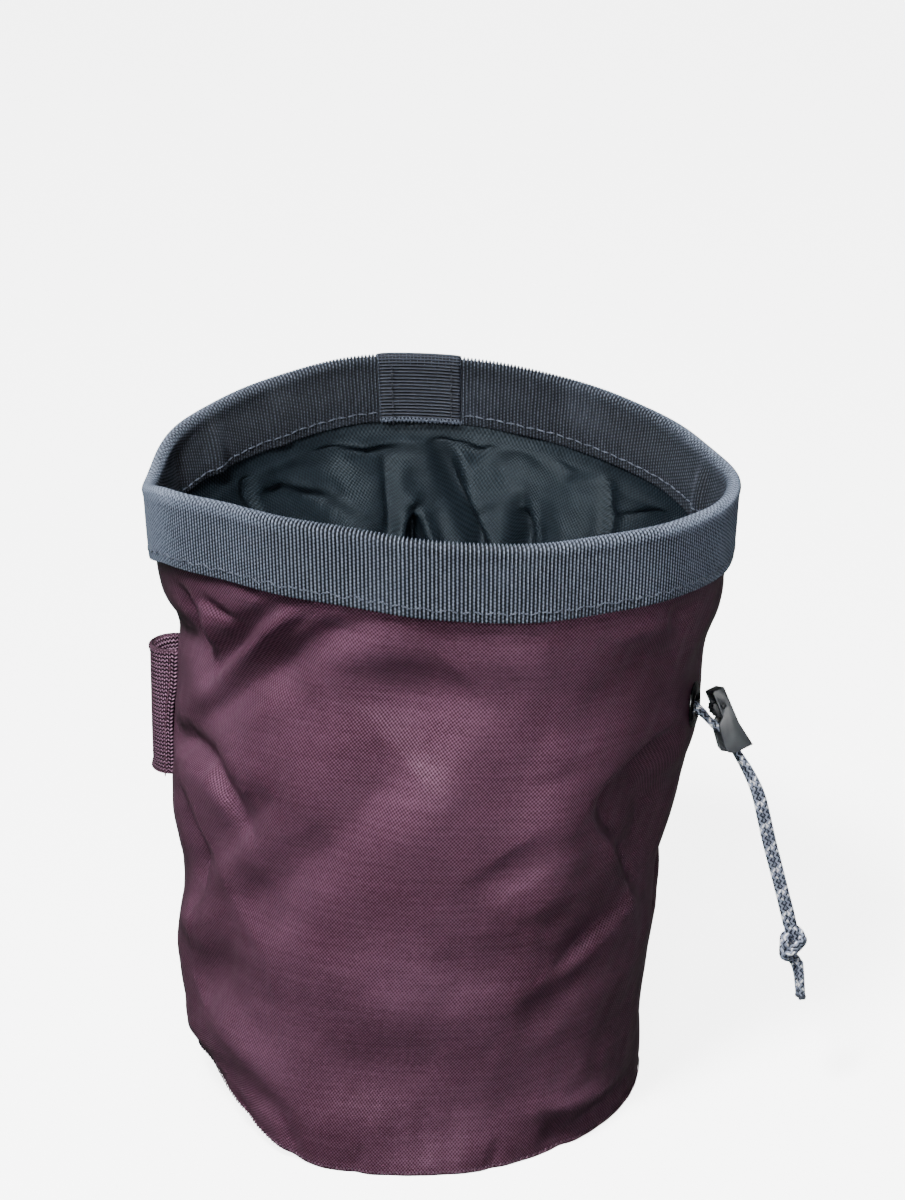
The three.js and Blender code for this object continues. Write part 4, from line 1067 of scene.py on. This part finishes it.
tuck_angle, tuck_up = np.meshgrid(angles, tuck, indexing="ij")
tuck_share = band_share + tuck_up / BAG_HEIGHT
up = polar(tuck_angle, plain_radius(tuck_angle, tuck_share) - 0.001, 1.0, wall_height(tuck_angle, tuck_share))
roll = np.radians(np.arange(30, 331, 30))
edge = hang[:, -1:]
outwards = np.stack([np.cos(np.radians(angles)), np.sin(np.radians(angles)), 0 * angles], -1)[:, None]
hem = edge + CHANNEL * (
    (1 - np.cos(roll))[None, :, None] * outwards + np.sin(roll)[None, :, None] * np.array([0, 0, -1.0])
)
points = np.concatenate([up, hang, hem], 1)
across = np.concatenate([-1000 * tuck, drops * COLLAR_MM, COLLAR_MM + np.arange(1, len(roll) + 1)])
uv_angle = -180 + 360 * np.arange(columns + 1) / columns
collar = grid_piece("collar", points, cloth_grid(uv_angle * MEAN_ARC * 0.85, across), ring=True)
thicken(collar, SHELL_THICKNESS, offset=0)
print("collar:", len(collar.data.polygons), "faces")

# %% [markdown]
# ## Loops
# The belt loop is ribbed webbing sewn inside the band; it goes over the rim and down the back, where a belt
# passes through it. The brush loop is knitted elastic sewn to the wall at its two edges.

# %% Belt loop
LOOP_ANGLE, LOOP_WIDTH, LOOP_END, STANDOFF, LOOP_SEAM = 95, 0.021, 0.088, 0.008, 0.010
LOOP_GAP, RIB_PITCH, LOOP_COLUMNS = 0.00045, 0.8, 25
# how far the outer run stands off, from the band down to its seam
LOOP_RUN = np.array([(0, 0), (0.15, 0.45), (0.35, 0.85), (0.6, 1), (0.82, 0.6), (1, 0)], float)
spread = math.degrees(LOOP_WIDTH / 2 / wall_top)
across = np.linspace(-1, 1, LOOP_COLUMNS)
angle = LOOP_ANGLE + across * spread
end_share = share_at(angle, LOOP_END)
seam_share = end_share + LOOP_SEAM / BAG_HEIGHT
rows = []


def loop_row(share, out, folded=0.0):
    folds = wall_folds(angle, share) * folded
    rows.append(polar(angle, plain_radius(angle, share) + out + folds, share, wall_height(angle, share)))


foot_share = band_share + 0.0021 / BAG_HEIGHT
sway = band_wave(angle) - band_dents(angle)
for t in np.linspace(0, 1, 26):
    share = foot_share + t * (shoulder_share - foot_share)
    loop_row(share, outer - band_depth(share) - LOOP_GAP + sway)
for turn in np.radians(np.linspace(165, 15, 11)):
    crown = polar(
        angle,
        plain_radius(angle, shoulder_share) + outer - half + sway + (half + LOOP_GAP) * math.cos(turn),
        shoulder_share,
        wall_height(angle, shoulder_share) + (half + LOOP_GAP) * math.sin(turn),
    )
    rows.append(crown)
for t in np.linspace(0, 1, 22):
    loop_row(shoulder_share + t * (band_share - shoulder_share), outer + LOOP_GAP + sway)
for t in np.linspace(0.03, 1, 34):
    out = read_table(LOOP_RUN, 1, t)
    seat = (1 - t) * (outer + LOOP_GAP + sway) + t * GAP
    loop_row(band_share + t * (seam_share - band_share), seat + out * STANDOFF, folded=1.0)
for t in np.linspace(0.08, 1, 12):
    loop_row(seam_share + t * (end_share - seam_share), GAP, folded=1.0)
points = np.stack(rows, 1)
middle_column = LOOP_COLUMNS // 2
steps = np.linalg.norm(np.diff(points[middle_column], axis=0), axis=1)
along = np.concatenate([[0], np.cumsum(steps)]) * 1000
dense = np.arange(0, along[-1], 0.2)
points = np.stack([
    np.stack([np.interp(dense, along, column[:, k]) for k in range(3)], -1) for column in points
])
belt_loop = grid_piece("belt_loop_webbing", points, cloth_grid(across * 500 * LOOP_WIDTH, dense / RIB_PITCH))
face_towards(belt_loop, len(dense) * middle_column + 20, (0, -1, 0))
edge_fade = np.repeat(1 - 0.7 * ease(np.abs(across), 0.86, 1), len(dense))
number_points(belt_loop, rib=np.tile(dense / RIB_PITCH, LOOP_COLUMNS), rib_strength=edge_fade)
# its second colour is painted shade between the ribs
belt_webbing = webbing_finish("belt_webbing", (0.027, 0.032, 0.046), (0.001, 0.0012, 0.002), 0.0, swap=True)
thicken(belt_loop, WEBBING, offset=-1)
belt_loop = run_tree("belt_loop_webbing", belt_loop, rib_tree, {
    "Rib depth": 0.00034, "Sharpness": 1.2, "Material": belt_webbing,
})
print("belt loop:", len(belt_loop.data.polygons), "faces,", round(along[-1]), "mm long")

# %% [markdown]
# The knit of the elastic runs in zigzag rows. The mesh gives the loop its round, standing shape with thicker
# hems at both ends, and a very low relief of the rows. The finish adds the rest.

# %% Brush loop
BRUSH_ANGLE, BRUSH_TOP, BRUSH_HEIGHT, BRUSH_BASE, BRUSH_REACH = 172, 0.1064, 0.031, 0.0105, 0.0063
ELASTIC, KNIT_WIDTH, KNIT_ROW, KNIT_ZIGZAG = 0.0012, 24, 0.95, 0.55
turns = np.linspace(0, 1, 110)
levels = np.linspace(0, 1, 150)
height = BRUSH_TOP - BRUSH_HEIGHT * (1 - levels)[None, :]
bend = math.pi * turns[:, None]
middle_share = share_at(BRUSH_ANGLE, BRUSH_TOP - BRUSH_HEIGHT / 2)
side = -np.cos(bend) * BRUSH_BASE / 2
angle = BRUSH_ANGLE + np.degrees(side / BASE_RADIUS) + 0 * height
bulge = 0.0004 * (ease(levels, 0.06, 0) + ease(levels, 0.94, 1))[None, :]
out = GAP + np.sin(bend) ** 0.7 * (BRUSH_REACH - GAP) + bulge * np.sin(bend)
height = height + 0 * bend
sewn = wall_point(angle, share_at(angle, height), out)
sewn[..., 2] = height
upright = polar(angle, plain_radius(angle, middle_share) + out, middle_share, height)
weight = np.sin(bend)[..., None]
points = sewn * (1 - weight) + upright * weight
arc, climb = turns * KNIT_WIDTH, levels * BRUSH_HEIGHT * 1000
chevron = np.abs((arc / (2 * KNIT_ZIGZAG)) % 1 - 0.5)[:, None] * 0.99 + climb[None, :]
relief = 0.0001 * np.sin(2 * math.pi * chevron / KNIT_ROW) * ease(np.sin(bend), 0.05, 0.4)
points += relief[..., None] * outward(BRUSH_ANGLE)
points[..., 2] += 0.0004 * np.sin(bend * 2.3 + 0.5) * (levels[None, :] - 0.5)
brush_loop = grid_piece("brush_loop_knit", points, cloth_grid(arc, climb))
face_towards(brush_loop, len(turns) // 2 * (len(levels) - 1) + 70, outward(BRUSH_ANGLE))
thicken(brush_loop, ELASTIC)
print("brush loop:", len(brush_loop.data.polygons), "faces")

# %% [markdown]
# ## Hard parts
# The eyelet is two pressed rings of dark metal. The lock and its cam keep the CAD model's shape, with their
# edges rounded by a small bevel, because moulded plastic has no sharp edges.

# %% Eyelet
# distance from the middle and depth in millimetres
PROFILE = [
    (2.62, -2.0), (2.7, -2.2), (3.2, -2.3), (4.3, -2.25), (4.72, -2.0), (4.75, -1.6), (4.6, -1.42), (3.3, -1.4),
    (3.25, 0.28), (5.1, 0.3), (5.36, 0.4), (5.38, 0.58), (5.15, 0.82), (4.6, 1.08), (4.0, 1.2), (3.4, 1.16),
    (2.95, 0.95), (2.68, 0.55), (2.6, 0.1), (2.6, -1.2),
]
sides = 72
turn = np.linspace(0, 2 * math.pi, sides, endpoint=False)
reach, depth = np.array(PROFILE).T / 1000
ring_points = np.stack([
    np.cos(turn)[:, None] * reach, np.sin(turn)[:, None] * reach, 0 * turn[:, None] + depth,
], -1)
facing = Vector((0, 0, 1)).rotation_difference(Vector(eyelet_normal)).to_matrix()
ring_points = ring_points @ np.array(facing).T + eyelet_place
no_cloth = np.zeros((sides + 1, len(PROFILE) + 1, 2))
eyelet_ring = grid_piece("eyelet_ring", ring_points, no_cloth, ring=True, loop=True)
recalculate(eyelet_ring)
print("eyelet:", len(eyelet_ring.data.polygons), "faces")


# %% Lock and cam
def rounded_copy(name, node, width, segments):
    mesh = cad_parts[node].data.copy()
    piece = link_piece(name, mesh)
    mesh.materials.clear()
    with edited(piece) as work:
        bmesh.ops.remove_doubles(work, verts=work.verts, dist=1e-6)
        bmesh.ops.dissolve_limit(
            work, angle_limit=math.radians(2), verts=work.verts, edges=work.edges, use_dissolve_boundaries=False
        )
        bmesh.ops.recalc_face_normals(work, faces=work.faces)
    soft_edge = piece.modifiers.new("edges", "BEVEL")
    soft_edge.width = width
    soft_edge.segments = segments
    soft_edge.limit_method = "ANGLE"
    soft_edge.angle_limit = math.radians(25)
    soft_edge.use_clamp_overlap = True
    soft_edge.harden_normals = True
    piece.data = made_mesh(piece, soft_edge)
    piece.data.shade_smooth()
    piece.data.set_sharp_from_angle(angle=math.radians(40))
    return piece


lock_body = rounded_copy("lock_body", "lock_housing", 0.00022, 3)
cam = rounded_copy("cam", "lock_cam", 0.00006, 2)
print("lock:", len(lock_body.data.polygons), "faces; cam:", len(cam.data.polygons), "faces")

# %% [markdown]
# ## Stitches
# Seams are what make a soft bag look sewn. One tree lays small bars of thread along any line: it cuts the
# line into equal steps, puts a rounded bar at each, turns it along the line, and swings it a little from side
# to side for a zigzag seam.

# %% Tree for stitches
stitch_tree, given = new_tree(
    "stitches", Pitch="Float", Length="Float", Thickness="Float", Swing="Float", Seed="Int", Material="Material"
)
line = put(stitch_tree, "GeometryNodeMeshToCurve", {"Mesh": given["Geometry"]})
places = put(
    stitch_tree, "GeometryNodeCurveToPoints", {"Curve": line, "Length": given["Pitch"]}, mode="LENGTH"
)
bar = put(stitch_tree, "GeometryNodeMeshUVSphere", {"Segments": 8, "Rings": 6, "Radius": 0.5})
size = put(stitch_tree, "ShaderNodeCombineXYZ", {
    "X": given["Length"], "Y": given["Thickness"], "Z": given["Thickness"],
})
bar = put(stitch_tree, "GeometryNodeTransform", {"Geometry": bar, "Scale": size})
index = put(stitch_tree, "GeometryNodeInputIndex")
flip = math_node(stitch_tree, "MULTIPLY_ADD", math_node(stitch_tree, "MODULO", index, 2.0), 2.0, -1.0)
chance = put(stitch_tree, "FunctionNodeRandomValue", {
    "Min": 0.7, "Max": 1.3, "Seed": given["Seed"],
}, data_type="FLOAT")
swing = math_node(stitch_tree, "MULTIPLY", math_node(stitch_tree, "MULTIPLY", flip, given["Swing"]), chance)
sideways = put(stitch_tree, "GeometryNodeInputNamedAttribute", {"Name": "side"}, data_type="FLOAT_VECTOR")
swung = scaled(stitch_tree, sideways.outputs["Attribute"], swing)
leaning = put(stitch_tree, "ShaderNodeVectorMath", {0: places.outputs["Tangent"], 1: swung}, operation="ADD")
turned = put(stitch_tree, "FunctionNodeAlignRotationToVector", {"Vector": leaning}, axis="X")
seam = put(stitch_tree, "GeometryNodeInstanceOnPoints", {
    "Points": places.outputs["Points"], "Instance": bar, "Rotation": turned,
})
seam = put(stitch_tree, "GeometryNodeSetShadeSmooth", {"Geometry": put(
    stitch_tree, "GeometryNodeRealizeInstances", {"Geometry": seam})})
close_tree(stitch_tree, seam, given["Material"])

# %% Finishes: threads
def thread_finish(name, deep, pale):
    material, tree, shader = new_material(name, Roughness=0.6, Specular_IOR_Level=0.3)
    grain = noise(tree, 2400.0, 2.0)
    paint(tree, shader, ramp(tree, grain, (0.3, deep), (0.7, pale)))
    bump(tree, shader, grain, 0.0001)
    return material


thread = thread_finish("thread", (0.02, 0.024, 0.034), (0.08, 0.096, 0.128))
dark_thread = thread_finish("dark_thread", (0.004, 0.005, 0.008), (0.016, 0.018, 0.026))
plum_thread = thread_finish("plum_thread", (0.02, 0.006, 0.012), (0.09, 0.035, 0.06))
edge_thread = thread_finish("edge_thread", (0.03, 0.014, 0.022), (0.12, 0.065, 0.095))


# %% Seams
THREAD_THICKNESS = 0.00038
UP, STRAIGHT = (0.0, 0.0, 1.0), (0.0, 0.0, 0.0)
seams = []


def seam_line(name, points, sideways, closed, seed, material=thread, pitch=0.0026, length=0.0023, swing=0.0):
    source = polyline("seam", points, closed)
    attribute = source.data.attributes.new("side", "FLOAT_VECTOR", "POINT")
    attribute.data.foreach_set("vector", np.broadcast_to(sideways, np.shape(points)).astype(np.float32).ravel())
    seams.append(run_tree(name, source, stitch_tree, {
        "Pitch": pitch, "Length": length, "Thickness": THREAD_THICKNESS, "Swing": swing, "Seed": seed,
        "Material": material,
    }))


around = np.arange(-180, 180, 1.0)
wobble = ease(np.abs(wrap(around + 130)), 60, 20)
outer_share = band_share + (0.0023 + 0.0002 * np.sin(np.radians(60 * around)) * wobble) / BAG_HEIGHT
seam_line(
    "band_seam", wall_point(around, outer_share, outer + band_wave(around) + 0.0002), UP, True, 3, swing=0.32
)
inner_share = band_share + 0.0040 / BAG_HEIGHT
away_from_loop = around[np.abs(wrap(around - LOOP_ANGLE)) > spread + 1.2]
away_from_loop = np.roll(away_from_loop, -int(np.argmax(np.diff(away_from_loop) > 2) + 1))
seam_line(
    "inner_band_seam",
    wall_point(
        away_from_loop, inner_share,
        outer - band_thickness - 0.0002 + band_wave(away_from_loop) - band_dents(away_from_loop),
    ), UP, False, 5, swing=0.12,
)
for number, at in enumerate((-0.78, 0.72)):
    angle_here = LOOP_ANGLE + at * spread
    heights = np.linspace(foot_share, shoulder_share - 0.006, 16)
    inside = polar(
        angle_here,
        plain_radius(angle_here, heights) + outer - band_depth(heights) - LOOP_GAP - WEBBING - 0.0001
        + band_wave(angle_here) - band_dents(angle_here),
        heights, wall_height(angle_here, heights),
    )
    seam_line(
        f"loop_seam_{number}", inside, (1.0, 0, 0), False, 7 + number,
        material=dark_thread, pitch=0.0021, length=0.0018,
    )
edge_angles = LOOP_ANGLE + np.linspace(-1.04, 1.04, 40) * spread
hem_inside = polar(
    edge_angles,
    plain_radius(edge_angles, foot_share) - (band_thickness - outer) - 0.00145
    + band_wave(edge_angles) - band_dents(edge_angles),
    foot_share, wall_height(edge_angles, foot_share) + 0.0004,
)
seam_line("loop_tack", hem_inside, UP, False, 11, pitch=0.00045, length=0.0014, swing=4.0)
box_low = end_share[middle_column] + 0.0014 / BAG_HEIGHT
box_high = seam_share[middle_column] - 0.001 / BAG_HEIGHT
box_left, box_right = LOOP_ANGLE - 0.8 * spread, LOOP_ANGLE + 0.8 * spread
corners = [
    (box_left, box_low), (box_right, box_low), (box_right, box_high), (box_left, box_high), (box_left, box_low),
]
box_angle, box_at = [
    np.concatenate([np.linspace(a[k], b[k], 12)[:-1] for a, b in zip(corners, corners[1:])]) for k in (0, 1)
]
box_points = polar(
    box_angle, plain_radius(box_angle, box_at) + wall_folds(box_angle, box_at) + GAP + 0.0003,
    box_at, wall_height(box_angle, box_at),
)
seam_line("loop_box_seam", box_points, STRAIGHT, True, 13, pitch=0.0022, length=0.0019)
for number, turn_at in enumerate((2, 107)):
    column = np.array([wall_point(
        BRUSH_ANGLE + math.degrees(-math.cos(math.pi * turns[turn_at]) * 0.0066 / BASE_RADIUS),
        share_at(BRUSH_ANGLE, z), 0.0021,
    ) for z in np.linspace(BRUSH_TOP - BRUSH_HEIGHT + 0.001, BRUSH_TOP - 0.001, 20)])
    seam_line(
        f"brush_seam_{number}", column, STRAIGHT, False, 17 + number,
        material=plum_thread, pitch=0.002, length=0.0017,
    )
foot_angles = np.arange(-180, 180, 1.5)
seam_height = CORNER_LIFT * corner(foot_angles, 0) * ease(0.905, 0.55, 1) + 0.0001
foot_points = polar(foot_angles, plain_radius(foot_angles, 0) - 0.0078, 0.0, seam_height)
seam_line("base_seam", foot_points, STRAIGHT, True, 23, material=plum_thread, pitch=0.0028)
foot_edge = wall_point(foot_angles, 0.004, 0.0002 - foot_pull(foot_angles))
seam_line("foot_seam", foot_edge, UP, True, 29, material=edge_thread, pitch=0.0009, length=0.0011, swing=2.5)
print("seams:", len(seams), "pieces,", sum(len(piece.data.polygons) for piece in seams), "faces")

# %% [markdown]
# ## Finishes
# The wall is a satin nylon whose weave shows as tiny staggered bricks. Its sheen comes from the shader, and
# the bricks set both the colour and the relief. The lining is a plainer, thinner nylon.


# %% Finish: nylon
def nylon_finish(name, pale, deep, cell, relief, roughness, gloss, gleam):
    """cell is the width and height of one float of the weave in millimetres."""
    material, tree, shader = new_material(
        name, Roughness=roughness, Specular_IOR_Level=gloss, Specular_Tint=(*gleam, 1),
    )
    cloth_map = put(tree, "ShaderNodeUVMap", uv_map="cloth")
    uv = put(tree, "ShaderNodeSeparateXYZ", {"Vector": cloth_map})
    across = math_node(tree, "COSINE", math_node(tree, "MULTIPLY", uv.outputs[0], 2 * math.pi / cell[0]))
    up = math_node(tree, "COSINE", math_node(tree, "MULTIPLY", uv.outputs[1], math.pi / cell[1]))
    floats = math_node(tree, "MULTIPLY_ADD", math_node(tree, "MULTIPLY", across, up), 0.5, 0.5)
    cloudy = noise(tree, 34.0, 4.0)
    speck = noise(tree, 1500.0, 2.0)
    long = put(tree, "ShaderNodeMapping", {"Vector": cloth_map, "Scale": (0.045, 0.9, 1.0)})
    streak = noise(tree, 1.0, 3.0, long)
    tone = math_node(tree, "MULTIPLY_ADD", math_node(tree, "SUBTRACT", speck, 0.5), 0.5, floats)
    tone = add_grain(tree, tone, streak, 0.35)
    tone = add_grain(tree, tone, cloudy, 0.5)
    middle = tuple(0.45 * a + 0.55 * b for a, b in zip(pale, deep))
    colour = ramp(tree, tone, (0.12, deep), (0.5, middle), (0.88, pale))
    paint(tree, shader, colour)
    bump(tree, shader, math_node(tree, "MULTIPLY_ADD", speck, 0.4, floats), relief)
    return material


shell_nylon = nylon_finish(
    "shell_nylon", (0.116, 0.054, 0.088), (0.014, 0.002, 0.005), (0.86, 0.46), 0.00012, 0.4, 0.3, (1, 0.72, 0.88)
)
# the lining's colours are its own dark teal, darkened much further as painted shade for the inside of the mouth
lining_nylon = nylon_finish(
    "lining_nylon", (0.0075, 0.0115, 0.0155), (0.0006, 0.0013, 0.0022), (0.86, 0.46), 0.0001, 0.5, 0.11,
    (0.8, 0.92, 1),
)

# %% Finish: knitted elastic
elastic_knit, tree, shader = new_material("elastic_knit", Roughness=0.8, Specular_IOR_Level=0.2)
uv = put(tree, "ShaderNodeSeparateXYZ", {"Vector": put(tree, "ShaderNodeUVMap", uv_map="cloth")})
across_knit, up_knit = uv.outputs[0], uv.outputs[1]
zigzag = math_node(tree, "PINGPONG", across_knit, KNIT_ZIGZAG)
row = math_node(tree, "MULTIPLY_ADD", zigzag, 0.9, up_knit)
row = unit_wave(tree, "SINE", math_node(tree, "MULTIPLY", row, 2 * math.pi / KNIT_ROW))
column = math_node(tree, "SINE", math_node(tree, "MULTIPLY", across_knit, 2 * math.pi / KNIT_ZIGZAG))
column = math_node(tree, "MULTIPLY_ADD", column, 0.25, 0.75)
knit = math_node(tree, "MULTIPLY", row, column)
hem_low = math_node(tree, "LESS_THAN", up_knit, 1.3)
hem_high = math_node(tree, "GREATER_THAN", up_knit, 30.2)
hems = math_node(tree, "MAXIMUM", hem_low, hem_high)
fuzz = noise(tree, 1300.0, 3.0)
colour = ramp(tree, knit, (0.25, (0.002, 0.001, 0.002)), (0.5, (0.06, 0.022, 0.043)), (0.8, (0.40, 0.22, 0.33)))
colour = mix(tree, math_node(tree, "MULTIPLY", hems, 0.5), colour, (0.06, 0.025, 0.042))
colour = mix(tree, math_node(tree, "MULTIPLY", fuzz, 0.2), colour, (0.05, 0.02, 0.04))
paint(tree, shader, colour)
bump(tree, shader, math_node(tree, "MULTIPLY_ADD", fuzz, 0.3, knit), 0.0003)

# %% Finishes: metal and plastic
eyelet_metal, tree, shader = new_material("eyelet_metal", Metallic=1.0)
worn = noise(tree, 420.0, 5.0)
colour = ramp(tree, worn, (0.35, (0.045, 0.048, 0.05)), (0.75, (0.16, 0.165, 0.165)))
paint(tree, shader, colour)
paint(tree, shader, ramp(tree, worn, (0.3, (0.2,) * 3), (0.8, (0.42,) * 3)), "Roughness")
bump(tree, shader, worn, 0.00005)


def plastic_finish(name, dark, pale, rough):
    material, tree, shader = new_material(name, Specular_IOR_Level=0.35)
    grain = noise(tree, 5200.0, 3.0)
    cloud = noise(tree, 260.0, 4.0)
    paint(tree, shader, ramp(tree, cloud, (0.3, dark), (0.75, pale)))
    paint(tree, shader, ramp(tree, cloud, (0.3, (rough - 0.06,) * 3), (0.8, (rough + 0.1,) * 3)), "Roughness")
    bump(tree, shader, grain, 0.00003)
    return material


lock_plastic = plastic_finish("lock_plastic", (0.020, 0.022, 0.025), (0.042, 0.046, 0.050), 0.4)
cam_plastic = plastic_finish("cam_plastic", (0.010, 0.011, 0.013), (0.022, 0.024, 0.027), 0.5)

for piece, material in (
    (wall, shell_nylon), (base_panel, shell_nylon), (collar, lining_nylon), (brush_loop, elastic_knit),
    (eyelet_ring, eyelet_metal), (lock_body, lock_plastic), (cam, cam_plastic),
):
    piece.data.materials.clear()
    piece.data.materials.append(material)
print("materials:", len(bpy.data.materials))

# %% [markdown]
# ## What moves with what
# Everything rides on the bag, and only the cam turns on its own. Each new piece stands for its CAD solid,
# which stays in the physics model.

# %% Riding and replacing
RIDES = [
    (wall, "shell_nylon", ["shell_wall"]), (base_panel, "shell_nylon", ["base_panel"]),
    (band, "webbing", ["rim_band"]), (collar, "lining_nylon", ["lining"]),
    (belt_loop, "webbing", ["belt_loop"]), (brush_loop, "elastic", ["brush_loop"]),
    (eyelet_ring, "eyelet_metal", ["eyelet"]), (lock_body, "lock_plastic", ["lock_housing"]),
]
for piece, slot, nodes in RIDES:
    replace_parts(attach(piece, "bag"), *nodes)
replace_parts(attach(cam, "lock_cam"), "lock_cam")
for piece in seams:
    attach(piece, "bag")
for label, share, (strand, knot, tail), routes, reach in strands:
    for piece, node in ((strand, "cord_" + label), (knot, "cord_knot"), (tail, "cord_tail_" + label)):
        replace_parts(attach(piece, "bag"), node)
    inside = [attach(piece, "bag") for which, piece in cores if which == label]

# %% [markdown]
# ## Light
# A pale floor that shines a little itself, a strong soft light high at the front left, a weak wide one above,
# two narrow ones that reach only the rim and the right side, a fill from the right, and a faint pale sky.

# %% Floor and lights
floor_mesh = bpy.data.meshes.new("floor")
FLOOR_HALF = 4
floor_corners = [(x * FLOOR_HALF, y * FLOOR_HALF, 0) for x, y in ((-1, -1), (1, -1), (1, 1), (-1, 1))]
floor_mesh.from_pydata(floor_corners, [], [(0, 1, 2, 3)])
floor = link_piece("floor", floor_mesh)
floor_paint, tree, shader = new_material("floor_paint", Roughness=0.9, Emission_Strength=5.0)
soft = noise(tree, 3.0, 2.0)
paint(tree, shader, ramp(tree, soft, (0.3, (0.86,) * 3), (0.7, (0.88,) * 3)))
floor.data.materials.append(floor_paint)
floor.visible_diffuse = floor.visible_glossy = False
floor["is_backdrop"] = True

world = bpy.data.worlds.new("sky")
world.use_nodes = True
sky_light = world.node_tree.nodes["Background"].inputs
sky_light["Color"].default_value = (1, 1, 1, 1)
sky_light["Strength"].default_value = 0.1
bpy.context.scene.world = world


def soft_light(name, place, aim, size, power, spread=180):
    data = bpy.data.lights.new(name, "AREA")
    data.shape = "DISK"
    data.size = size
    data.energy = power
    data.spread = math.radians(spread)
    light = bpy.data.objects.new(name, data)
    light.location = place
    light.rotation_euler = (Vector(aim) - Vector(place)).to_track_quat("-Z", "Y").to_euler()
    bpy.context.scene.collection.objects.link(light)


soft_light("key", (-0.32, -0.60, 1.12), (0, 0, 0.09), 0.26, 45)
soft_light("top", (0.1, 0.35, 1.5), (0, 0, 0.0), 1.0, 6)
soft_light("front", (-0.10, -1.00, 0.80), (0.03, -0.03, 0.15), 0.22, 0.12, 16)
soft_light("right", (0.20, -0.95, 0.50), (0.042, -0.03, 0.125), 0.2, 0.03, 12)
soft_light("fill", (0.24, -1.03, 0.62), (0.02, 0, 0.08), 0.4, 3.5)

# %% Measure and finish
low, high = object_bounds()
print("visual box in mm", [round(1000 * x, 1) for x in low], [round(1000 * x, 1) for x in high])
